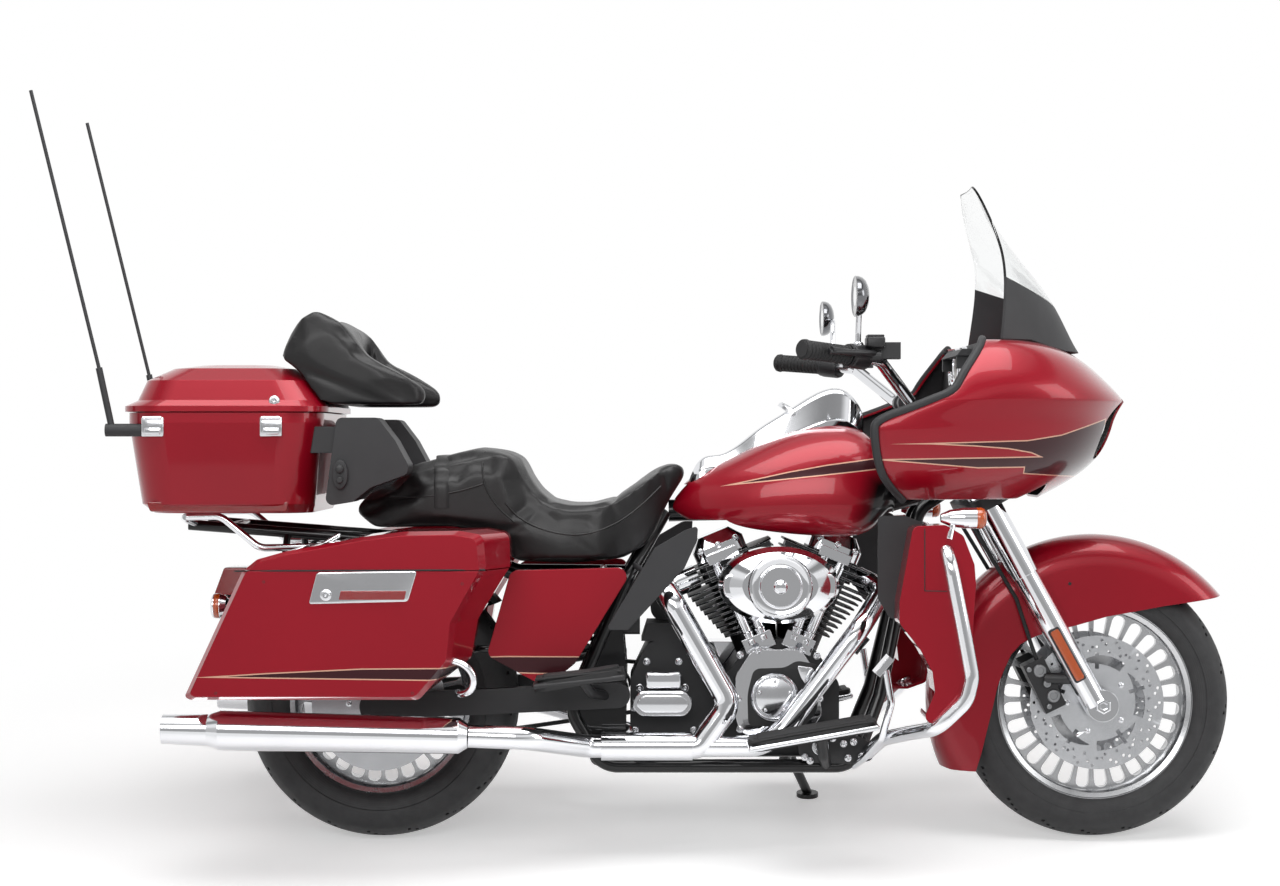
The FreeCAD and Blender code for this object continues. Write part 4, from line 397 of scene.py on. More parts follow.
# The tank's front-lower corner, under the fairing, gets painted shade.
tank_paint = painted("striped_tank_paint_with_painted_shade", [tank_stripe],
                     painted_shade_outline=[(1040, 690), (1075, 830), (1180, 880), (1240, 860), (1240, 640)])
bag_paint = painted("striped_bag_paint", [bag_stripe])
cover_paint = painted("striped_cover_paint", [cover_stripe])
fin_enamel = finned("finned_black_enamel")
chrome = plated("chrome_plate", tone(232, 233, 236), 0.03, 0.09)
dark_chrome = plated("smoked_chrome", tone(120, 121, 124), 0.08, 0.16)
black_gloss = painted("gloss_black_paint", (), tone(18, 18, 20), tone(8, 8, 9))
satin = moulded("satin_black_enamel", tone(24, 24, 26), 0.34, 0.5, 500.0, 0.06)
plastic = moulded("grained_black_plastic", tone(34, 34, 36), 0.5, 0.66)
rubber = moulded("black_rubber", tone(26, 26, 27), 0.62, 0.8, 320.0, 0.1)
aluminium = cast("polished_aluminium", tone(205, 206, 208), 0.16, 0.34, 240.0, 0.06)
engine_black = cast("wrinkle_black_enamel", tone(30, 30, 32), 0.4, 0.6, 1600.0, 0.3, 0.2)
steel = cast("dull_steel", tone(150, 151, 153), 0.3, 0.5, 500.0, 0.08)
leather = hide("black_leather")
clear = glazed("clear_screen", (0.97, 0.98, 0.98, 1), 0.0, 1.0)
lamp_glass = glazed("lamp_glass", (0.98, 0.98, 0.98, 1), 0.0, 1.0)
red_lens = lens("red_lens", tone(190, 14, 16), tone(120, 4, 8))
amber_lens = lens("amber_lens", tone(240, 110, 14), tone(190, 66, 6))
polished = plated("polished_trim", tone(222, 223, 226), 0.08, 0.18)
mirror_glass = plated("mirror_glass", tone(236, 238, 240), 0.01, 0.03)
dial_face = moulded("dial_face", tone(228, 228, 222), 0.3, 0.4, 60.0, 0.02)
front_disc_steel = brushed_disc("front_disc_steel", wheelbase)
rear_disc_steel = brushed_disc("rear_disc_steel", 0.0)
front_rubber = tyre_rubber("front_tyre_rubber", wheelbase)
rear_rubber = tyre_rubber("rear_tyre_rubber", 0.0)

worn = (
    (chrome, "air_cleaner engine_covers engine_guard exhaust_pipes foot_controls fork_legs "
     "handlebar luggage_rails mirrors mufflers pushrod_tubes rear_shocks rocker_covers "
     "tank_console"),
    (plastic, "air_deflectors antennas battery_box inner_fairing speaker_pods windshield_base"),
    (leather, "backrest seat"),
    (rubber, "brake_lines drive_belt grips passenger_board_left passenger_board_right "
     "rider_board_left rider_board_right"),
    (engine_black, "crankcase transmission"),
    (fin_enamel, "cylinders"),
    (fairing_paint, "fairing"),
    (satin, "footboard_arms fork_yokes front_calipers hand_controls plate_bracket side_stand "
     "swingarm"),
    (black_gloss, "frame rear_fender"),
    (front_disc_steel, "front_discs"),
    (paint, "front_fender lower_fairings saddlebag_lid_left saddlebag_lid_right top_box_base "
     "top_box_lid"),
    (aluminium, "front_rim rear_rim"),
    (front_rubber, "front_tyre"),
    (tank_paint, "fuel_tank"),
    (lamp_glass, "headlamps"),
    (rear_disc_steel, "rear_disc_pulley"),
    (rear_rubber, "rear_tyre"),
    (bag_paint, "saddlebags"),
    (cover_paint, "side_covers"),
    (amber_lens, "signal_lamps"),
    (clear, "windshield"),
)
for finish, names in worn:
    for name in names.split():
        nodes[name].data.materials.clear()
        nodes[name].data.materials.append(finish)


# Ways of making pieces. Sizes and places are in millimetres on the upright machine.

front_x, axle_z = 1613, 310
lamp_y, lamp_z = 96, 925
mirror_y, mirror_z = 447, 1201
stem_y, stem_z = 333.5, 1084
right_side = Matrix(((1, 0, 0), (0, 0, -1), (0, 1, 0))).to_4x4()
sides = ((-1, "right"), (1, "left"))


def pick(piece):
    bpy.ops.object.select_all(action="DESELECT")
    piece.select_set(True)
    bpy.context.view_layer.objects.active = piece


def merged(piece, reach=0.00002):
    """Joins a mesh's doubled points and turns its faces outwards."""
    pick(piece)
    bpy.ops.object.mode_set(mode="EDIT")
    bpy.ops.mesh.select_all(action="SELECT")
    bpy.ops.mesh.remove_doubles(threshold=reach)
    bpy.ops.mesh.normals_make_consistent(inside=False)
    bpy.ops.object.mode_set(mode="OBJECT")


def settle(piece, name, body, finish, slot, angle=35, seal=True):
    """Lays a finished piece over with the machine, and lets it move with its body."""
    piece.name = name
    bpy.context.view_layer.update()
    piece.data.transform(park @ piece.matrix_world)
    piece.matrix_world = Matrix.Identity(4)
    if len(piece.data.materials) > 1:
        piece.data.materials[0] = finish
    else:
        piece.data.materials.clear()
        piece.data.materials.append(finish)
    pick(piece)
    if seal:
        merged(piece)
    bpy.ops.object.shade_smooth_by_angle(angle=math.radians(angle))
    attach(piece, body)
    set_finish(piece, slot)
    return piece


def other_side(piece, name, body=None):
    """The same piece on the machine's left."""
    twin = piece.copy()
    twin.data = piece.data.copy()
    twin.name = name
    bpy.context.scene.collection.objects.link(twin)
    flip = park @ Matrix.Diagonal((1, -1, 1, 1)) @ upright
    twin.parent = None
    twin.matrix_world = Matrix.Identity(4)
    twin.data.transform(flip)
    twin.data.flip_normals()
    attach(twin, body or piece["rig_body"])
    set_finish(twin, piece["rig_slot"])
    return twin


def pair(piece, name, body, finish, slot, angle=35):
    """A piece on the machine's right and its twin on the left."""
    other_side(settle(piece, name + "_right", body, finish, slot, angle), name + "_left")


def stretched(piece, centre, scale):
    """Stretches a piece along the machine's axes, about a place."""
    centre = Matrix.Translation(Vector(centre) * mm)
    piece.data.transform(centre @ Matrix.Diagonal(scale).to_4x4() @ centre.inverted())


def joined(pieces):
    bpy.ops.object.select_all(action="DESELECT")
    for piece in pieces:
        piece.select_set(True)
    bpy.context.view_layer.objects.active = pieces[0]
    if len(pieces) > 1:
        bpy.ops.object.join()
    return pieces[0]


def apply_all(piece):
    pick(piece)
    for modifier in list(piece.modifiers):
        bpy.ops.object.modifier_apply(modifier=modifier.name)
    return piece


def turned(start, end, profile, corners=32, filled=True):
    """A turned part: (millimetres along the axis, radius) from start towards end."""
    start, end = Vector(start) * mm, Vector(end) * mm
    bpy.ops.object.select_all(action="DESELECT")
    along, radius = profile[0]
    bpy.ops.mesh.primitive_circle_add(vertices=corners, radius=radius * mm,
                                      fill_type="NGON" if filled else "NOTHING", location=(0, 0, along * mm))
    piece = bpy.context.object
    bpy.ops.object.transform_apply(location=True)
    bpy.ops.object.mode_set(mode="EDIT")
    bpy.ops.mesh.select_mode(type="VERT")
    bpy.ops.mesh.select_all(action="SELECT")
    for share, wide in profile[1:]:
        bpy.ops.mesh.extrude_region_move(TRANSFORM_OT_translate={"value": (0, 0, (share - along) * mm)})
        bpy.ops.transform.resize(value=(wide / radius, wide / radius, 1), center_override=(0, 0, share * mm))
        along, radius = share, wide
    bpy.ops.object.mode_set(mode="OBJECT")
    facing = (end - start).to_track_quat("Z", "Y").to_matrix().to_4x4()
    piece.matrix_world = Matrix.Translation(start) @ facing
    bpy.context.view_layer.update()
    bpy.ops.object.transform_apply(location=True, rotation=True, scale=True)
    return piece


def pipe(points, radius, turns=3, corners=3):
    """A bent tube along smooth points."""
    line = bpy.data.curves.new("line", "CURVE")
    line.dimensions = "3D"
    spline = line.splines.new("NURBS")
    spline.points.add(len(points) - 1)
    for point, place in zip(spline.points, points):
        point.co = (place[0] * mm, place[1] * mm, place[2] * mm, 1)
    spline.order_u = 3
    spline.use_endpoint_u = True
    spline.resolution_u = turns * 3
    line.bevel_depth = radius * mm
    line.bevel_resolution = corners
    line.use_fill_caps = True
    piece = bpy.data.objects.new("line", line)
    bpy.context.scene.collection.objects.link(piece)
    pick(piece)
    bpy.ops.object.convert(target="MESH")
    return bpy.context.object


def plate(outline, y, thickness, bevel=0.6, holes=()):
    """A flat plate on the machine's right, its outer face at y, with softened edges."""
    flat = bpy.data.curves.new("flat", "CURVE")
    flat.dimensions = "2D"
    flat.fill_mode = "BOTH"
    for shape in (outline,) + tuple(holes):
        spline = flat.splines.new("POLY")
        spline.points.add(len(shape) - 1)
        for corner, (x, z) in zip(spline.points, shape):
            corner.co = (x * mm, z * mm, 0, 1)
        spline.use_cyclic_u = True
    flat.extrude = (thickness / 2 - bevel) * mm
    flat.bevel_depth = bevel * mm
    flat.bevel_resolution = 2
    flat.offset = -bevel * mm
    piece = bpy.data.objects.new("flat", flat)
    bpy.context.scene.collection.objects.link(piece)
    pick(piece)
    bpy.ops.object.convert(target="MESH")
    piece = bpy.context.object
    piece.matrix_world = Matrix.Translation((0, (y + thickness / 2) * mm, 0)) @ right_side
    bpy.context.view_layer.update()
    pick(piece)
    bpy.ops.object.transform_apply(location=True, rotation=True, scale=True)
    return piece


def rounded_corners(corners, radius, steps=5):
    """An outline with its corners cut round."""
    made = []
    for before, here, after in zip(corners[-1:] + corners[:-1], corners, corners[1:] + corners[:1]):
        a, b, c = Vector(before), Vector(here), Vector(after)
        reach = min(radius, (a - b).length * 0.45, (c - b).length * 0.45)
        start, end = b + (a - b).normalized() * reach, b + (c - b).normalized() * reach
        for step in range(steps + 1):
            share = step / steps
            made.append(tuple(start * (1 - share) ** 2 + b * 2 * share * (1 - share) + end * share ** 2))
    return made


def oval(x, z, half_x, half_z, corners=40):
    return [(x + half_x * math.cos(2 * math.pi * i / corners),
             z + half_z * math.sin(2 * math.pi * i / corners)) for i in range(corners)]


def block(low, high, bevel=1.5, segments=3):
    """A box from corner to corner with rounded edges."""
    bpy.ops.object.select_all(action="DESELECT")
    centre = [(a + b) / 2 * mm for a, b in zip(low, high)]
    bpy.ops.mesh.primitive_cube_add(size=1, location=centre)
    piece = bpy.context.object
    piece.scale = [(b - a) * mm for a, b in zip(low, high)]
    bpy.ops.object.transform_apply(location=True, rotation=True, scale=True)
    bpy.ops.object.mode_set(mode="EDIT")
    bpy.ops.mesh.select_all(action="SELECT")
    bpy.ops.mesh.bevel(offset=bevel * mm, segments=segments, affect="EDGES")
    bpy.ops.object.mode_set(mode="OBJECT")
    return piece


def bolt(place, along, radius=7.0, height=6.0):
    """A domed bolt head standing on place, its axis pointing along."""
    place, along = Vector(place), Vector(along).normalized()
    return turned(place - along, place + along * height,
                  [(0, radius * 1.25), (1.6, radius * 1.25), (1.8, radius), (height * 0.7, radius * 0.94),
                   (height * 0.95, radius * 0.6), (height, radius * 0.45), (height * 0.6, radius * 0.4)], 12)


def cut(piece, cutter, operation="DIFFERENCE", solver="EXACT"):
    bite = piece.modifiers.new("cut", "BOOLEAN")
    bite.operation = operation
    bite.object = cutter
    bite.solver = solver
    apply_all(piece)
    bpy.data.objects.remove(cutter)
    return piece


def place_on(node_name, x, z):
    """The y of a CAD node's right face where a line across the machine meets it."""
    start = park @ Vector((x * mm, -1.5, z * mm))
    hit, point, normal, face = nodes[node_name].ray_cast(start, park.to_3x3() @ Vector((0, 1, 0)))
    return (upright @ point).y / mm if hit else -100.0


# Wheels

bolt_circle, rim_front, rim_rear = 67, 220, 206


def tyre_piece(name, x, rim_radius, width, body, node_name, finish):
    """A tyre with slanted grooves in its tread."""
    half = width / 2
    groove_depth, groove_low, tread_trim = 4.2, 286, 1.3
    wall = axle_z - rim_radius
    steps = 240
    rise = ((0.0, 0.0), (0.12, 0.5), (0.24, 1.8), (0.36, 4.2), (0.48, 7.4), (0.60, 11.7), (0.72, 17.5),
            (0.82, 23.5), (0.90, 31.0), (0.95, 0.40 * wall), (1.0, 0.54 * wall), (0.985, 0.66 * wall),
            (0.955, 0.675 * wall), (0.95, 0.70 * wall), (0.93, 0.78 * wall), (0.88, 0.88 * wall),
            (0.78, 0.97 * wall), (0.70, 1.02 * wall))
    line = [(share * half, axle_z - drop - (tread_trim if 0 < share < 0.9 else 0)) for share, drop in rise]
    profile = [(-y, r) for y, r in reversed(line)] + line[1:]
    piece = turned((x, 0, axle_z), (x, 100, axle_z), profile, steps, False)
    centre = Vector((x, 0, axle_z)) * mm
    if sum(polygon.normal.dot(polygon.center - centre) for polygon in piece.data.polygons) < 0:
        piece.data.flip_normals()
    for polygon in piece.data.polygons:
        place = polygon.center / mm
        step = int((math.atan2(place.z - axle_z, place.x - x) + math.pi) / (2 * math.pi) * steps)
        across = place.y / half
        column = int(abs(across) / 0.12)
        lane = (step + column * 2 + (0 if across > 0 else 6)) % 12
        groove = lane < 1 and 1 <= column <= 5 or column == 0 and across > 0 and step % 12 < 1
        polygon.select = groove and math.hypot(place.x - x, place.z - axle_z) > groove_low
    bpy.ops.object.mode_set(mode="EDIT")
    bpy.ops.mesh.select_mode(type="FACE")
    bpy.ops.mesh.inset(thickness=0.0006, depth=-groove_depth * mm)
    bpy.ops.object.mode_set(mode="OBJECT")
    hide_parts(node_name)
    return settle(piece, name, body, finish, "tyre", 28, False)


tyre_piece("front_tyre_tread", front_x, rim_front, 130, "front_wheel", "front_tyre", front_rubber)
tyre_piece("rear_tyre_tread", 0, rim_rear, 180, "rear_wheel", "rear_tyre", rear_rubber)


def rim_trim(name, x, radius, half, hub, body):
    """The bright bead lip and the bolts that hold the brake disc."""
    parts = []
    for side in (-1, 1):
        lip = turned((x, side * half * 0.56, axle_z), (x, side * half * 1.2, axle_z),
                     [(0, radius - 11), (4, radius - 3), (9, radius - 0.5), (12, radius + 3),
                      (13, radius - 1), (10, radius - 8), (3, radius - 13), (0, radius - 11)], 96, False)
        parts.append(lip)
        for i in range(5):
            angle = 2 * math.pi * (i + 0.5) / 5
            parts.append(bolt((x + bolt_circle * math.cos(angle), side * (hub + 5.2),
                               axle_z + bolt_circle * math.sin(angle)), (0, side, 0), 5.5, 5))
    return settle(joined(parts), name, body, polished, "chrome", 40)


rim_trim("front_rim_trim", front_x, rim_front, 65, 68, "front_wheel")
rim_trim("rear_rim_trim", 0, rim_rear, 90, 92, "rear_wheel")


def cast_wheel(name, x, radius, half, hub, body, node_name):
    """A cast wheel: barrel with lips, hub, and a web with 28 long windows between thin spokes."""
    out = half + 3.5
    barrel = turned((x, 0, axle_z), (x, 100, axle_z),
                    [(-out, radius - 3), (-out + 2, radius), (-half, radius - 0.5), (1 - half, radius - 12),
                     (half - 1, radius - 12), (half, radius - 0.5), (out - 2, radius), (out, radius - 3),
                     (out - 5, radius - 13), (out - 12, radius - 16), (12 - out, radius - 16),
                     (5 - out, radius - 13), (-out, radius - 3)], 140, False)
    axle = turned((x, 0, axle_z), (x, 100, axle_z),
                  [(-hub, 13.5), (-hub, 40), (6 - hub, 45.5), (hub - 6, 45.5), (hub, 40), (hub, 13.5),
                   (-hub, 13.5)], 64, False)
    web = turned((x, 0, axle_z), (x, 100, axle_z),
                 [(-8, 44), (-6, 100), (-8, radius - 18), (-8, radius - 14), (8, radius - 14),
                  (8, radius - 18), (6, 100), (8, 44), (-8, 44)], 140, False)
    merged(web)
    windows = []
    for i in range(28):
        turn_by = 2 * math.pi * (i + 0.5) / 28
        window = []
        for reach, across in ((108, -9), (150, -12.4), (radius - 34, -15), (radius - 26, -13.5),
                              (radius - 20.5, -8), (radius - 19, 0), (radius - 20.5, 8), (radius - 26, 13.5),
                              (radius - 34, 15), (150, 12.4), (108, 9), (104, 0)):
            window.append((x + reach * math.cos(turn_by) - across * math.sin(turn_by),
                           axle_z + reach * math.sin(turn_by) + across * math.cos(turn_by)))
        windows.append(plate(window, -20, 40, 0.1))
    cut(web, joined(windows))
    wheel = joined([web, barrel, axle])
    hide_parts(node_name)
    return settle(wheel, name, body, aluminium, "aluminium", 32)


cast_wheel("front_wheel_casting", front_x, rim_front, 47, 68, "front_wheel", "front_rim")
cast_wheel("rear_wheel_casting", 0, rim_rear, 65, 92, "rear_wheel", "rear_rim")
for side, word in sides:
    nut = turned((front_x, side * 141.5, axle_z), (front_x, side * 200, axle_z),
                 [(0, 17), (2, 18), (9, 18), (11, 15), (11, 9), (4, 8.2)], 6)
    settle(nut, "axle_nut_" + word, "fork", chrome, "chrome", 25)
    cap = turned((0, side * 118, axle_z), (0, side * 200, axle_z),
                 [(0, 24), (10, 24), (16, 20), (18, 12), (20, 11), (21, 3)], 24)
    settle(cap, "rear_axle_cap_" + word, "chassis", chrome, "chrome", 30)


# The front discs are drilled in rings between the slots

drilled = bpy.data.objects.new("drilled", nodes["front_discs"].data.copy())
bpy.context.scene.collection.objects.link(drilled)
bpy.context.view_layer.update()
drilled.data.transform(upright @ nodes["front_discs"].matrix_world)
merged(drilled, 0.00003)
drill_radius = 3.6
drills = []
for shift, radii in ((0, (141, 133, 125, 117)), (0.5, (117, 141, 125, 133))):
    for i in range(40):
        angle = 2 * math.pi * (i + shift) / 40
        radius = radii[i % 4]
        x, z = front_x + radius * math.cos(angle), axle_z + radius * math.sin(angle)
        drills.append(turned((x, -120, z), (x, 120, z), [(0, drill_radius), (240, drill_radius)], 10))
for i in range(5):
    outline = []
    for steps, middle, swell in ((range(13), 97, 11), (range(12, -1, -1), 95, -9)):
        for step in steps:
            share = step / 12
            angle = math.radians(43.6 - 62 * share + 72 * i)
            radius = middle + swell * math.sin(math.pi / 2 * min(1, share * 1.5))
            outline.append((front_x + radius * math.cos(angle), axle_z + radius * math.sin(angle)))
    drills.append(plate(outline, -120, 240, 0.1))
cut(drilled, joined(drills))
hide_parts("front_discs")
settle(drilled, "front_discs_drilled", "front_wheel", front_disc_steel, "steel", 30)


# Fork: reflectors and caliper pistons

lean_x, lean_z = -0.480, 0.877


def on_leg(x, z, along, across):
    return (x + along * lean_x + across * lean_z, z + along * lean_z - across * lean_x)


def leg_plate(x, z, length, width, y, thickness, rounding):
    corners = [on_leg(x, z, a * length / 2, b * width / 2) for a, b in ((-1, -1), (1, -1), (1, 1), (-1, 1))]
    return plate(rounded_corners(corners, rounding), y, thickness, 1.2)


bezel = leg_plate(1532, 424, 132, 27, -152.0, 8, 6)
pair(bezel, "reflector_bezel", "fork", satin, "black_plastic")
amber = leg_plate(1532, 424, 124, 20, -155.0, 5, 5)
pair(amber, "reflector", "fork", amber_lens, "red_lens")
parts = []
for along, across, radius in ((34, 6, 15), (-30, 6, 15), (2, 6, 9), (48, -14, 6), (-46, -14, 6)):
    x, z = on_leg(1490, 352, along, across)
    y = place_on("front_calipers", x, z)
    parts.append(turned((x, y + 2, z), (x, y - 40, z),
                        [(0, radius), (4, radius), (6, radius * 0.9), (6.5, radius * 0.55), (5, radius * 0.5),
                         (5, radius * 0.1)], 20))
pair(joined(parts), "caliper_pistons", "fork", steel, "steel")


# Saddlebags: latches, reflectors, locks, screws and seals

latch = plate(rounded_corners([(-89, 624), (120, 627), (101, 563), (-106, 558)], 7), -463.5, 4.5, 1.4)
pair(latch, "bag_latch", "chassis", polished, "chrome")
strip = plate(rounded_corners([(-39, 586), (98, 586), (94, 567), (-43, 567)], 3), -466.5, 5, 1.2)
pair(strip, "bag_reflector", "chassis", red_lens, "red_lens")
lock = turned((-70, -462, 577), (-70, -500, 577),
              [(0, 12), (4, 12), (5, 10), (5, 8), (7, 7.4), (7, 2), (4, 1.5)], 24)
pair(lock, "bag_lock", "chassis", chrome, "chrome")
parts = []
for x, z in ((-200, 604), (214, 600), (-300, 372), (110, 372)):
    parts.append(bolt((x, place_on("saddlebags", x, z) + 2.2, z), (0, -1, 0), 4.5, 3.5))
pair(joined(parts), "bag_screws", "chassis", satin, "black_plastic")
seal = pipe([(-262, -452, 626), (-235, -460.6, 627), (0, -460.8, 628), (220, -460.8, 629), (262, -455, 629)],
            1.6, 3, 2)
pair(seal, "bag_seal", "chassis", rubber, "rubber")


# Top box: latches, lock, red strips, and the speaker pods' switch panels

parts = []
for x in (-468, -212):
    y = place_on("top_box_base", x, 930)
    parts.append(block((x - 24, y - 9, 908), (x + 24, y + 3, 950), 2.5))
    parts.append(block((x - 17, y - 13, 913), (x + 17, y - 6, 926), 2.0))
    parts.append(turned((x - 20, y - 10, 948), (x + 20, y - 10, 948), [(0, 4.5), (40, 4.5)], 16))
pair(joined(parts), "box_latches", "chassis", polished, "chrome")
y = place_on("top_box_lid", -206, 985)
key = turned((-206, y + 3, 985), (-206, y - 40, 987),
             [(0, 12), (5, 12), (7, 10.5), (7, 8), (8.5, 7.6), (8.5, 2), (5, 1.5)], 24)
settle(key, "box_lock", "top_box_lid", chrome, "chrome")
y = place_on("top_box_base", -330, 754)
glow = plate(rounded_corners([(-486, 766), (-178, 766), (-182, 745), (-478, 745)], 5), y - 3, 7, 1.4)
pair(glow, "box_light", "chassis", red_lens, "red_lens")
panel = plate(oval(-62, 826, 17, 32), -298, 12, 2.0)
pair(panel, "pod_panel", "chassis", plastic, "black_plastic")
parts = [turned((-62, -301, z), (-62, -330, z), [(0, r), (5, r), (6, r * 0.8), (6, r * 0.2)], 18) for z,
         r in ((838, 9), (814, 7))]
pair(joined(parts), "pod_knobs", "chassis", satin, "black_plastic")


# Engine dress. The cylinders lean out from the crank by the vee's half angle.

crank_x, crank_z = 895, 340
vee_out, vee_up = 0.383, 0.924
rim = plate(oval(888, 584, 131, 83, 64), -240, 16, 4.0, holes=(oval(888, 584, 119, 71, 64),))
settle(rim, "air_cleaner_rim", "chassis", chrome, "chrome", 50)
wing = plate(rounded_corners([(768, 560), (800, 553), (976, 553), (1008, 560), (1012, 584), (1008, 608),
                              (976, 615), (800, 615), (768, 608), (764, 584)], 14), -277, 26, 4.0)
settle(wing, "air_cleaner_wing", "chassis", chrome, "chrome", 50)
disc = turned((888, -282, 584), (888, -400, 584),
              [(0, 70), (14, 70), (18, 67), (19, 62), (17, 58), (17, 47), (20, 45), (22, 43), (22, 15),
               (24, 13), (27, 11), (28, 6), (28.4, 1)], 64)
settle(disc, "air_cleaner_disc", "chassis", chrome, "chrome", 30)
dark = plate(rounded_corners([(824, 268), (946, 268), (976, 300), (984, 404), (930, 414), (906, 398),
                              (836, 396), (822, 340)], 16), -173, 3, 0.8)
settle(dark, "cam_cover_recess", "chassis", engine_black, "black_paint", 40)
cover = plate(rounded_corners([(931, 404), (969, 398), (967, 368), (950, 360), (938, 380)], 8), -177, 5, 1.5)
settle(cover, "cam_cover_corner", "chassis", polished, "chrome", 40)
timer = turned((882, -174, 334), (882, -300, 334),
               [(0, 53), (9, 53), (12, 50), (13, 47), (11, 45), (11, 44), (13.5, 42), (14, 41), (14.6, 1)],
               56)
settle(timer, "timer_cover", "chassis", polished, "chrome", 30)
parts = []
for i in range(5):
    angle = math.pi * 2 * (i + 0.25) / 5
    parts.append(bolt((882 + 35 * math.cos(angle), -187.6, 334 + 35 * math.sin(angle)), (0, -1, 0), 3.4, 3))
for x, z in ((806, 426), (846, 436), (944, 436), (976, 424), (806, 262), (972, 262), (802, 330), (982, 330)):
    y = place_on("engine_covers", x, z)
    parts.append(bolt((x, y if y < -100 else -172, z), (0, -1, 0), 6.5, 7))
for x, z in ((584, 345), (686, 345), (578, 318), (692, 318), (590, 292), (680, 292)):
    parts.append(bolt((x, place_on("transmission", x, z), z), (0, -1, 0), 7, 18))
for x, z in ((600, 404), (672, 404), (574, 250), (706, 250), (572, 300)):
    parts.append(bolt((x, place_on("transmission", x, z), z), (0, -1, 0), 6.5, 7))
for side in (-1, 1):
    for across in (-42, 0, 42):
        x = crank_x + side * vee_out * 352 + across * vee_up
        z = crank_z + vee_up * 352 - side * across * vee_out
        y = place_on("rocker_covers", x, z)
        parts.append(bolt((x, y, z), (0, -1, 0), 6, 5))
settle(joined(parts), "engine_bolts", "chassis", polished, "chrome", 40)
cover = plate(rounded_corners([(568, 318), (582, 346), (688, 346), (702, 318), (688, 290), (582, 290)], 16),
              -166, 10, 2.5)
settle(cover, "gear_cover_back", "chassis", chrome, "chrome", 40)
face = plate(rounded_corners([(574, 318), (590, 338), (680, 338), (696, 318), (680, 298), (590, 298)], 14),
             -177, 8, 2.5)
settle(face, "gear_cover_face", "chassis", polished, "chrome", 40)
top = block((598, -160, 350), (676, -124, 386), 5)
settle(top, "gear_cover_top", "chassis", chrome, "chrome", 40)
parts = []
for side in (-1, 1):
    for shift in (-20, 20):
        low = (crank_x + side * vee_out * 112 + shift * 0.7 * vee_up, -101,
               crank_z + vee_up * 112 - side * shift * 0.7 * vee_out)
        high = (crank_x + side * vee_out * 316 + shift * vee_up, -101,
                crank_z + vee_up * 316 - side * shift * vee_out)
        parts.append(turned(low, high, [(6, 15), (16, 15), (18, 12.5), (30, 12.5), (31, 14), (35, 14),
                                        (37, 11.5), (120, 11.5), (122, 13), (126, 13), (128, 11.5),
                                        (196, 11.5)], 20))
settle(joined(parts), "pushrod_collars", "chassis", chrome, "chrome", 40)


# Seam of the lower fairing's glove door, and the guard below the saddlebag's front corner
seam_top, seam_corner, seam_end = (919.3, 527), (919.3, 588), (941, 588.5)
parts = []
for first, last in ((seam_top, seam_corner), (seam_corner, seam_end)):
    line = []
    for step in range(9):
        px = first[0] + (last[0] - first[0]) * step / 8
        py = first[1] + (last[1] - first[1]) * step / 8
        x, z = seen_at(px, py, lower_out)
        line.append((x, place_on("lower_fairings", x, z) - 0.2, z))
    parts.append(pipe(line, 1.1, 2, 1))
pair(joined(parts), "glove_door_seam", "chassis", plastic, "black_plastic")
guard = pipe([(146, -330, 452), (150, -392, 446), (176, -420, 440), (212, -424, 432), (234, -424, 410),
              (236, -420, 384), (222, -404, 366), (200, -372, 360), (196, -330, 360)], 7.5, 4, 4)
pair(guard, "bag_guard", "chassis", chrome, "chrome", 40)


# Footboards, and the carriers that hold them

def board_pad(low, high, ribs, x, z, degrees):
    """A ribbed rubber pad and its bright edge on a footboard that tips up towards the front."""
    (x0, y0), (x1, y1) = low, high
    tip = Matrix.Translation(Vector((x, 0, z)) * mm) @ Matrix.Rotation(math.radians(-degrees), 4, "Y")
    tip = tip @ Matrix.Translation(Vector((-x, 0, -z)) * mm)
    pad = block((x0 + 6, y0 + 6, z + 9), (x1 - 6, y1 - 6, z + 15), 2.5)
    bars = [pad]
    for i in range(ribs):
        y = y0 + 14 + (y1 - y0 - 36) * i / (ribs - 1)
        bars.append(block((x0 + 22, y, z + 13), (x1 - 22, y + 8, z + 18), 2))
    edge = block((x0 - 1, y0 - 1, z - 8), (x1 + 1, y1 + 1, z + 4), 5, 4)
    pad = joined(bars)
    pad.data.transform(tip)
    edge.data.transform(tip)
    return pad, edge


for name, values in {"rider": ((815, -377), (1095, -255), 7, 955, 268, 9.9),
                     "passenger": ((355, -342), (553, -256), 5, 454, 385, 6.0)}.items():
    pad, edge = board_pad(*values)
    settle(pad, name + "_pad_right", name + "_board_right", rubber, "rubber", 40)
    other_side(pad, name + "_pad_left", name + "_board_left")
    settle(edge, name + "_edge_right", name + "_board_right", polished if name == "rider" else satin,
           "chrome", 40)
    other_side(edge, name + "_edge_left", name + "_board_left")

carrier = plate(rounded_corners([(936, 246), (980, 262), (1040, 252), (1085, 238), (1108, 214), (1100, 190),
                                 (1060, 182), (960, 184), (936, 204)], 12), -150, 9, 1.6)
pair(carrier, "board_carrier", "chassis", satin, "black_paint")
parts = [turned((984, -152, 222), (984, -200, 222),
                [(0, 20), (9, 20), (12, 18), (12, 11), (9, 10), (9, 5), (12, 4.5), (12, 0.5)], 28)]
for x, z in ((950, 198), (962, 190), (1012, 240), (1036, 228), (1058, 232), (1076, 200), (1046, 196)):
    parts.append(bolt((x, -154, z), (0, -1, 0), 6.5, 6))
pair(joined(parts), "carrier_bolts", "chassis", polished, "chrome")


# Fairing and front fender: smooth skins in place of the plain solids

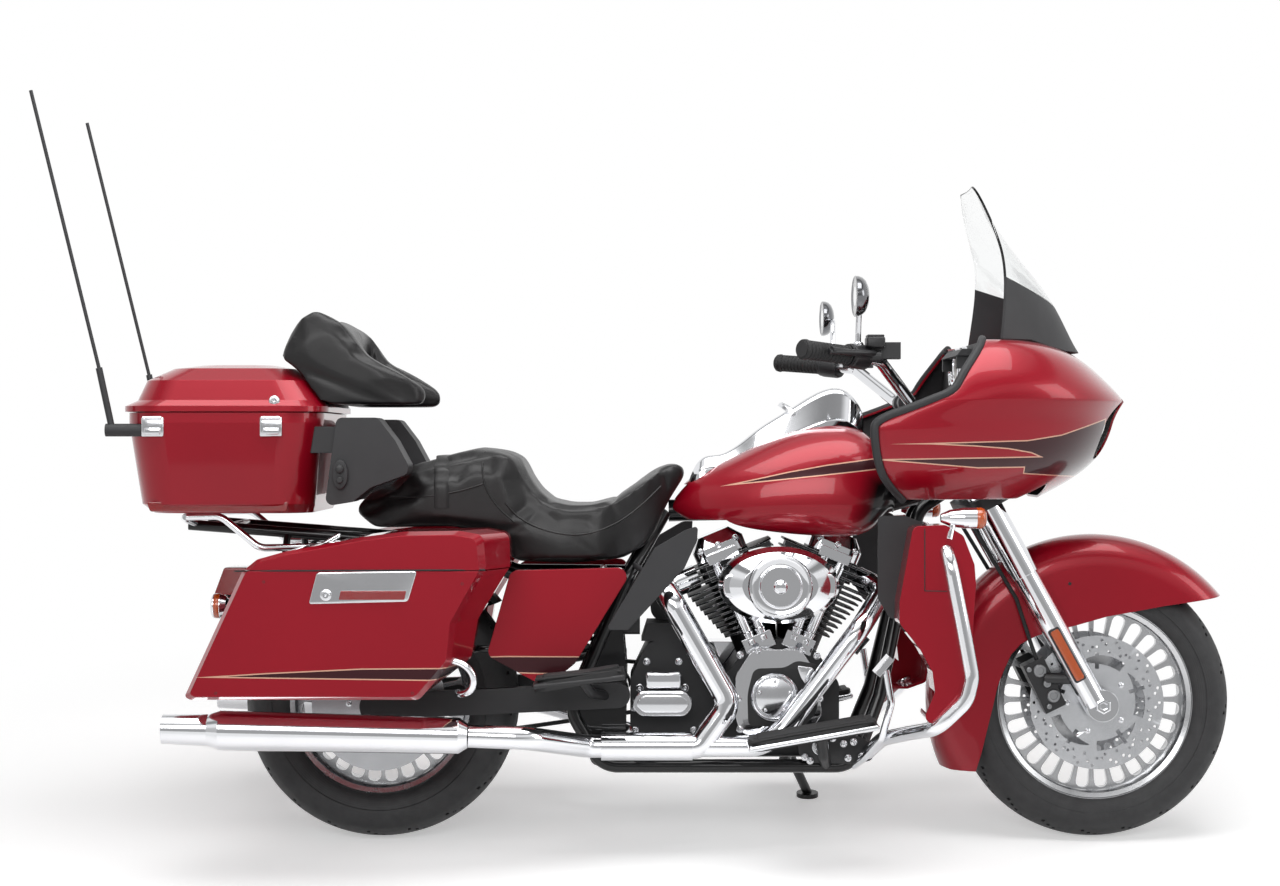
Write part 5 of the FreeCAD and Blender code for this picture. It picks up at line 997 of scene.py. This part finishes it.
fairing_rows = ((0.66, 0.12, 0.06, 0.60), (0.68, 0.12, 0.06, 0.72), (0.80, 0.05, 0.16, 0.86),
                (0.90, 0.015, 0.28, 0.95), (0.955, 0.0, 0.44, 1.0), (0.965, 0.002, 0.52, 0.998),
                (0.985, 0.14, 0.60, 0.993), (1.0, 0.20, 0.64, 0.99), (0.975, 0.28, 0.69, 0.975),
                (0.915, 0.31, 0.785, 0.945), (0.82, 0.37, 0.92, 0.86), (0.70, 0.395, 0.985, 0.78),
                (0.64, 0.40, 1.0, 0.72), (0.58, 0.45, 1.0, 0.5), (0.53, 0.52, 1.0, 0.02))
plan = ((0.0, 0.94), (0.0, 1.0), (0.14, 1.0), (0.28, 0.985), (0.52, 0.91), (0.72, 0.76), (0.86, 0.55),
        (0.96, 0.28), (1.0, 0.0))
rows = []
cowl_x, cowl_z, cowl_length, cowl_height, cowl_half = 1078, 749, 610, 371, 401
for nose, rear, level, wide in fairing_rows:
    back, front = cowl_x + rear * cowl_length, cowl_x + nose * cowl_length
    z = cowl_z + level * cowl_height - (2 if wide < 0.75 and level == 1.0 else 0)
    half = [(back + along * (front - back), -width * wide * cowl_half, z) for along, width in plan]
    rows.append(half + [(x, -y, z) for x, y, z in reversed(half[:-1])])


def creased(piece, row_numbers, across, amount=0.85):
    """Keeps an edge along these rows of a grid."""
    pick(piece)
    bpy.ops.object.mode_set(mode="EDIT")
    bpy.ops.mesh.select_mode(type="EDGE")
    bpy.ops.mesh.select_all(action="DESELECT")
    bpy.ops.object.mode_set(mode="OBJECT")
    for edge in piece.data.edges:
        first, second = edge.vertices
        edge.select = first // across == second // across and first // across in row_numbers
    bpy.ops.object.mode_set(mode="EDIT")
    bpy.ops.transform.edge_crease(value=amount)
    bpy.ops.object.mode_set(mode="OBJECT")


def shell(rows, creases, wall, levels=3, amount=0.85):
    across, along = len(rows[0]), len(rows)
    bpy.ops.object.select_all(action="DESELECT")
    bpy.ops.mesh.primitive_grid_add(x_subdivisions=across - 1, y_subdivisions=along - 1, size=1)
    piece = bpy.context.object
    for index, vertex in enumerate(piece.data.vertices):
        vertex.co = Vector(rows[index // across][index % across]) * mm
    for edge in piece.data.edges:
        edge.select = False
    creased(piece, creases, across, amount)
    smoother = piece.modifiers.new("smoother", "SUBSURF")
    smoother.levels = smoother.render_levels = levels
    smoother.boundary_smooth = "ALL"
    apply_all(piece)
    merged(piece)
    solid = piece.modifiers.new("wall", "SOLIDIFY")
    solid.thickness = wall * mm
    solid.offset = -1
    solid.material_offset = 1
    piece.data.materials.append(paint)
    piece.data.materials.append(plastic)
    return apply_all(piece)


cowl = shell(rows, (1, 7, 12), 5)
for side in (-1, 1):
    hole = turned((1440, side * lamp_y, lamp_z), (1800, side * lamp_y, lamp_z), [(0, 68), (340, 68)], 64)
    cut(cowl, hole, solver="MANIFOLD")
fork_room = block((1073, -200, 740), (1480, 200, 860), 10)
cut(cowl, fork_room, solver="MANIFOLD")
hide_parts("fairing")
settle(cowl, "fairing_skin", "chassis", fairing_paint, "red_paint", 32)

# The black trim that runs round the fairing's rear edge
trim = [(rows[i][1][0] - 1, rows[i][1][1] - 1, rows[i][1][2]) for i in range(1, 13)]
edge = pipe([(x + 3, y * 0.985, z) for x, y, z in trim], 9, 4, 4)
pair(edge, "fairing_trim", "chassis", plastic, "black_plastic")

# Headlamps: bowl, bulb shield and clear lens
for side, word in sides:
    bowl = turned((1520, side * lamp_y, lamp_z), (1800, side * lamp_y, lamp_z),
                  [(0, 8), (2, 26), (14, 45), (34, 58), (54, 64), (70, 66), (76, 66), (76, 63), (70, 62),
                   (54, 60), (34, 54), (16, 41), (5, 22), (3, 7)], 56)
    settle(bowl, "headlamp_bowl_" + word, "chassis", polished, "chrome", 30)
    bulb = turned((1528, side * lamp_y, lamp_z), (1800, side * lamp_y, lamp_z),
                  [(0, 9), (20, 9), (28, 13), (34, 12), (37, 6)], 24)
    settle(bulb, "headlamp_bulb_" + word, "chassis", chrome, "chrome", 30)
    glass = turned((1582, side * lamp_y, lamp_z), (1800, side * lamp_y, lamp_z),
                   [(0, 65), (6, 64), (13, 56), (18, 42), (21, 24), (22, 6), (20, 6), (19, 24), (16, 41),
                    (11, 54), (4, 61)], 56)
    if side < 0:
        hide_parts("headlamps")
    settle(glass, "headlamp_glass_" + word, "chassis", clear, "lamp_glass", 30)

# Front fender
outer = ((0.0, 0.0), (0.2, 0.003), (0.36, 0.012), (0.52, 0.024), (0.68, 0.042), (0.8, 0.066), (0.9, 0.098),
         (0.965, 0.135), (1.0, 0.19), (1.0, 0.4), (1.0, 0.62))
fender_half, fender_radius, fender_drop = 83.5, 377, 378
right = [(a * fender_half, fender_radius - b * fender_drop) for a, b in outer]
ring = [(-y, r) for y, r in reversed(right)] + right[1:]
inner = [(y * 0.955, r - 3.4) for y, r in reversed(ring)]
hoop = turned((front_x, 0, axle_z), (front_x, 100, axle_z), ring + inner + [ring[0]], 192, False)
merged(hoop, 0.00001)
side_shares = ((0.0, 0.02), (0.07, 0.003), (0.15, 0.0), (0.17, 0.08), (0.19, 0.18), (0.21, 0.28),
               (0.225, 0.36), (0.247, 0.43), (0.272, 0.495), (0.305, 0.54), (0.36, 0.575), (0.43, 0.598),
               (0.5, 0.62), (0.6, 0.655), (0.8, 0.70), (1.05, 0.745), (1.05, 1.1), (-0.1, 1.1), (-0.1, 0.02))
fender_x, fender_z, fender_length, fender_height = 1241, 156, 653, 531
outline = [(fender_x + a * fender_length, fender_z + b * fender_height) for a, b in side_shares]
keep = plate(outline, -100, 200, 0.2)
cut(hoop, keep, "INTERSECT")
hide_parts("front_fender")
settle(hoop, "front_fender_skin", "fork", paint, "red_paint", 30)
pair(bolt((1550, -83.5, 578), (0, -1, 0), 3, 2), "fender_bolt", "fork", satin, "black_plastic")


# Lamps

holder = nodes["signal_lamps"].data
holder.materials.clear()
holder.materials.append(chrome)
for side, word in sides:
    glass = turned((1296, side * 384, 735), (1400, side * 384, 735),
                   [(0, 21), (2, 22.6), (12, 22.6), (18, 20), (22, 13), (23.5, 4)], 40)
    settle(glass, "front_signal_lens_" + word, "chassis", amber_lens, "red_lens", 40)
    glass = turned((-344, side * 150, 533), (-400, side * 150, 533),
                   [(0, 26.5), (3, 27.8), (12, 27.8), (17, 24), (21, 15), (22, 5)], 40)
    settle(glass, "rear_signal_lens_" + word, "chassis", amber_lens, "red_lens", 40)
tail = plate(rounded_corners([(-377, 551), (-303, 551), (-303, 613), (-354, 613)], 6), -56, 112, 3.0)
settle(tail, "tail_lamp_lens", "chassis", red_lens, "red_lens", 40)
foot = block((-352, -38, 538), (-308, 38, 554), 2.5)
settle(foot, "tail_lamp_foot", "chassis", plastic, "black_plastic", 40)


# Mirrors, hand controls and dash

for side, word in sides:
    head = turned((1064, side * mirror_y, mirror_z), (900, side * mirror_y, mirror_z),
                  [(0, 6), (3, 22), (9, 34), (16, 40), (24, 42.5), (30, 42.5), (31, 41), (29.5, 39.5),
                   (29.5, 1)], 56)
    stretched(head, (0, side * mirror_y, 0), (1, 1.7, 1))
    if side < 0:
        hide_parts("mirrors")
    settle(head, "mirror_head_" + word, "fork", dark_chrome, "chrome", 40)
    face = turned((1035.2, side * mirror_y, mirror_z), (900, side * mirror_y, mirror_z),
                  [(0, 39), (0.6, 39), (0.8, 1)], 56)
    stretched(face, (0, side * mirror_y, 0), (1, 1.7, 1))
    settle(face, "mirror_glass_" + word, "fork", mirror_glass, "chrome", 30)
    stem = pipe([(1051.6, side * stem_y, stem_z), (1051.6, side * 334, 1140), (1053, side * 352, 1186),
                 (1057, side * 392, 1192), (1056, side * 420, 1196)], 6.4, 5, 4)
    settle(stem, "mirror_stem_" + word, "fork", chrome, "chrome", 40)
    clamp = turned((1051.6, side * stem_y, stem_z), (1051.6, side * stem_y, 1200),
                   [(0, 12), (22, 12), (26, 9)], 24)
    settle(clamp, "mirror_clamp_" + word, "fork", chrome, "chrome", 40)
    start, end = Vector((1100, side * 296, 1074)), Vector((927, side * 430, 1091))
    run = (start - end).normalized()
    ribs = [(0, 18.5), (1, 21), (8, 22), (11, 19.5)]
    along = 12
    while along < 118:
        ribs += [(along, 18.6), (along + 1, 20.4), (along + 7, 20.4), (along + 8, 18.6)]
        along += 10
    ribs += [(122, 18.6), (123, 21.5), (127, 21.5)]
    grip = turned(end - run * 2, end + run * 200, ribs, 36)
    settle(grip, "grip_ribs_" + word, "fork", rubber, "rubber", 30)
    box = turned(end + run * 133, end + run * 260, [(0, 24), (2, 26), (40, 27), (46, 25), (47, 18)], 28)
    settle(box, "switch_housing_" + word, "fork", satin, "black_plastic", 30)
    top = end + run * 172
    tank = block((top.x + 6, top.y - 26, top.z + 20), (top.x + 46, top.y + 26, top.z + 44), 5)
    settle(tank, "reservoir_" + word, "fork", satin, "black_plastic", 40)
    lid = block((top.x + 8, top.y - 23, top.z + 43), (top.x + 44, top.y + 23, top.z + 48), 2)
    settle(lid, "reservoir_cap_" + word, "fork", satin, "black_plastic", 40)
    reach = end + Vector((52, 0, -4)) + run * 4
    root = end + Vector((44, 0, 6)) + run * 150
    middle = (reach + root) / 2 + Vector((16, 0, 0))
    lever = pipe([tuple(root), tuple(root * 0.6 + middle * 0.4 + Vector((6, 0, 0))), tuple(middle),
                  tuple(reach)], 6, 4, 3)
    settle(lever, "hand_lever_" + word, "fork", satin, "black_plastic", 40)

dials = ((-56, 1068, 44), (56, 1068, 44), (-150, 1050, 24), (150, 1050, 24), (-100, 1030, 22),
         (100, 1030, 22))
parts = []
for y, z, radius in dials:
    parts.append(turned((1322, y, z), (1200, y, z),
                        [(0, radius), (10, radius), (12, radius - 3), (8, radius - 6), (7, radius * 0.1)],
                        36))
settle(joined(parts), "dash_gauge_rings", "chassis", chrome, "chrome", 30)
parts = []
for y, z, radius in dials:
    parts.append(turned((1314, y, z), (1200, y, z),
                        [(0, radius - 7), (0.8, radius - 7), (1.2, radius * 0.2), (1.4, 0.5)], 36))
settle(joined(parts), "dash_gauge_faces", "chassis", dial_face, "black_plastic", 30)

# Tank console: filler cap
cap = turned((930, 0, 955), (1200, 0, 1300), [(0, 40), (8, 40), (12, 37), (14, 30), (15, 10), (15.4, 2)], 40)
settle(cap, "filler_cap", "chassis", chrome, "chrome", 30)


# Seat and backrest: padded leather, swelled as cloth and kept near the form that carries it

voxel, shrink, travel = 6.5, 4, 9


def cushion(node_name, name, body):
    """A node's form as a cushion; it swells no further than travel."""
    source = nodes[node_name]
    bpy.context.view_layer.update()
    piece = bpy.data.objects.new(name, source.data.copy())
    bpy.context.scene.collection.objects.link(piece)
    piece.data.transform(source.matrix_world)
    merged(piece, 0.00005)
    remesh = piece.modifiers.new("remesh", "REMESH")
    remesh.mode = "VOXEL"
    remesh.voxel_size = voxel * mm
    apply_all(piece)
    relax = piece.modifiers.new("relax", "SMOOTH")
    relax.factor = 0.6
    relax.iterations = 14
    shrinker = piece.modifiers.new("smaller", "DISPLACE")
    shrinker.strength = -shrink * mm
    shrinker.mid_level = 0
    apply_all(piece)
    rest = [vertex.co.copy() for vertex in piece.data.vertices]
    down = park.to_3x3() @ Vector((0, 0, -1))
    held = piece.vertex_groups.new(name="held")
    held.add([vertex.index for vertex in piece.data.vertices if vertex.normal.dot(down) > 0.5], 1.0,
             "REPLACE")
    cloth = piece.modifiers.new("swell", "CLOTH")
    cloth.settings.use_pressure = True
    cloth.settings.uniform_pressure_force = 4
    cloth.settings.vertex_group_mass = "held"
    cloth.settings.effector_weights.gravity = 0
    cloth.settings.quality = 4
    for step in range(1, 21):
        bpy.context.scene.frame_set(step)
        bpy.context.view_layer.update()
    apply_all(piece)
    bpy.context.scene.frame_set(1)
    for vertex, before in zip(piece.data.vertices, rest):
        move = vertex.co - before
        if move.length > travel * mm:
            vertex.co = before + move.normalized() * travel * mm
    relax = piece.modifiers.new("relax", "SMOOTH")
    relax.factor = 0.5
    relax.iterations = 4
    apply_all(piece)
    finer = piece.modifiers.new("finer", "SUBSURF")
    finer.levels = finer.render_levels = 1
    apply_all(piece)
    piece.data.materials.clear()
    piece.data.materials.append(leather)
    bpy.ops.object.shade_smooth()
    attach(piece, body)
    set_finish(piece, "leather")
    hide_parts(node_name)
    return piece


def sewn(piece, points, radius, name, side):
    """A welt that follows a cushion's surface, from points on the machine's side."""
    placed = []
    facing = park.to_3x3() @ Vector((0, -side, 0))
    for x, z in points:
        hit, point, normal, face = piece.ray_cast(park @ Vector((x * mm, side * 0.6, z * mm)), facing)
        if hit:
            placed.append(tuple((upright @ (point + normal * radius * 0.2 * mm)) / mm))
    welt = pipe(placed, radius, 3, 2)
    settle(welt, name, "chassis", leather, "leather", 60)


seat_pad = cushion("seat", "seat_cushion", "chassis")
cushion("backrest", "backrest_cushion", "top_box_lid")
seat_out = 180
welt_pixels = {
    "rider_welt": (2.2, [(505, 503), (513, 513), (524, 521), (536, 527), (548, 531), (562, 534), (577, 535),
                         (592, 533), (607, 528), (621, 521), (635, 511), (649, 499), (661, 487)]),
    "seat_seam": (2.0, [(484, 452), (482, 462), (482, 474), (485, 488), (492, 500), (502, 512), (514, 522)]),
    "pillion_welt": (2.0, [(388, 497), (405, 498), (425, 497), (445, 494), (465, 490), (483, 484)]),
}
for side, word in sides:
    for name, (radius, pixels) in welt_pixels.items():
        sewn(seat_pad, traced(pixels, seat_out), radius, name + "_" + word, side)
strap = []
for step in range(25):
    angle = math.pi * step / 24
    target = Vector((147, -330 * math.cos(angle), 760 + 240 * math.sin(angle)))
    start = park @ (target * mm)
    aim = park.to_3x3() @ (Vector((147, 0, 740)) - target).normalized()
    hit, point, normal, face = seat_pad.ray_cast(start, aim)
    if hit:
        strap.append(tuple((upright @ (point + normal * 1.2 * mm)) / mm))
band = pipe(strap, 2.2, 3, 3)
stretched(band, (147, 0, 0), (7.5, 1, 1))
settle(band, "grab_strap", "chassis", leather, "leather", 50)


# Studio: a pale floor, a soft overhead light, and the camera where the photograph was taken.

def blended(tree, share, first, second):
    """One shader between two others."""
    node = tree.nodes.new("ShaderNodeMixShader")
    for source, socket in zip((share, first, second), node.inputs):
        tree.links.new(source, socket)
    return node.outputs[0]


camera = bpy.data.objects.new("camera", bpy.data.cameras.new("camera"))
bpy.context.scene.collection.objects.link(camera)
camera.data.sensor_width = 36.0
camera.data.lens = 36.0 * focal_pixels / photo_width
camera.matrix_world = park @ Matrix.Translation(Vector((camera_x, -camera_far, camera_z)) * mm) @ right_side
camera.data.clip_end = 100.0
bpy.context.scene.camera = camera

bpy.ops.mesh.primitive_plane_add(size=60.0, location=(0, 0, 0))
floor = bpy.context.object
floor.name = "floor"
floor_finish = Finish("pale_floor", (0.86, 0.86, 0.86, 1), 0.0, 0.6)
floor_finish.colour(floor_finish.mix(floor_finish.noise(0.8), (0.84, 0.84, 0.84, 1), (0.88, 0.88, 0.88, 1)))
floor_finish.set(Specular_IOR_Level=0.2)
tree = floor_finish.tree
white = (1, 1, 1, 1)
glow = wired(tree, "Emission", Color=white)
lift = wired(tree, "Emission", Color=white, Strength=0.42)
lifted = tree.nodes.new("ShaderNodeAddShader")
tree.links.new(floor_finish.shader.outputs[0], lifted.inputs[0])
tree.links.new(lift.outputs[0], lifted.inputs[1])
rays = tree.nodes.new("ShaderNodeLightPath")
plain = floor_finish.math("MAXIMUM", rays.outputs["Is Camera Ray"], rays.outputs["Is Glossy Ray"])
plain = floor_finish.math("MAXIMUM", plain, rays.outputs["Is Transmission Ray"])
spot = tree.nodes.new("ShaderNodeTexCoord").outputs["Object"]
away = tree.nodes.new("ShaderNodeVectorMath")
away.operation = "LENGTH"
tree.links.new(spot, away.inputs[0])
far_off = wired(tree, "MapRange", From_Min=1.2, From_Max=2.3, Value=away.outputs["Value"])
far_off.interpolation_type = "SMOOTHSTEP"
fading = blended(tree, far_off.outputs["Result"], lifted.outputs[0], glow.outputs[0])
chosen = blended(tree, plain, floor_finish.shader.outputs[0], fading)
floor_finish.link(chosen, tree.nodes["Material Output"].inputs["Surface"])
floor.data.materials.append(floor_finish.material)

world = bpy.data.worlds.new("studio")
bpy.context.scene.world = world
world.use_nodes = True
sky = world.node_tree
soft = sky.nodes["Background"]
soft.inputs["Strength"].default_value = 0.62
bright = wired(sky, "Background", Color=white)
path = sky.nodes.new("ShaderNodeLightPath")
seen = worked(sky, "MAXIMUM", path.outputs["Is Camera Ray"], path.outputs["Is Transmission Ray"])
both = worked(sky, "MAXIMUM", seen, path.outputs["Is Glossy Ray"])
choose = blended(sky, both, soft.outputs[0], bright.outputs[0])
sky.links.new(choose, sky.nodes["World Output"].inputs["Surface"])
# Metal sees a white sky that dims towards the dark end of the studio behind the camera.
incoming = sky.nodes.new("ShaderNodeTexCoord")
direction = wired(sky, "SeparateXYZ", Vector=incoming.outputs["Generated"])
wall = wired(sky, "MapRange", From_Min=-0.9, From_Max=-0.1, To_Min=0.42, Value=direction.outputs["Y"])
above = wired(sky, "MapRange", From_Min=0.12, From_Max=0.45, Value=direction.outputs["Z"])
brighter = worked(sky, "MAXIMUM", wall.outputs[0], above.outputs[0])
band = wired(sky, "ValToRGB", Fac=direction.outputs["Z"])
stops = band.color_ramp.elements
for place, level in ((0.5, 1.0), (0.60, 1.0), (0.66, 0.35), (0.74, 0.30), (0.80, 1.0)):
    stop = stops.new(place)
    stop.color = (level, level, level, 1)
stops[0].color = stops[-1].color = white
flagged = worked(sky, "MULTIPLY", brighter, band.outputs["Color"])
sky.links.new(worked(sky, "MAXIMUM", flagged, seen), bright.inputs["Strength"])


def softbox(name, place, aim, width, height, power):
    lamp = bpy.data.lights.new(name, "AREA")
    lamp.shape = "RECTANGLE"
    lamp.size = width
    lamp.size_y = height
    lamp.energy = power
    box = bpy.data.objects.new(name, lamp)
    bpy.context.scene.collection.objects.link(box)
    box.location = place
    box.rotation_euler = (Vector(aim) - Vector(place)).to_track_quat("-Z", "Y").to_euler()


softbox("top_light", (0.1, -0.6, 4.2), (0, 0, 0.6), 4.5, 2.4, 150)
softbox("side_light", (-0.8, -4.6, 3.0), (0, 0, 0.6), 3.5, 1.6, 90)
softbox("front_light", (4.2, -1.5, 2.2), (0.4, 0, 0.7), 1.6, 2.4, 40)
bpy.context.scene.view_settings.view_transform = "Standard"
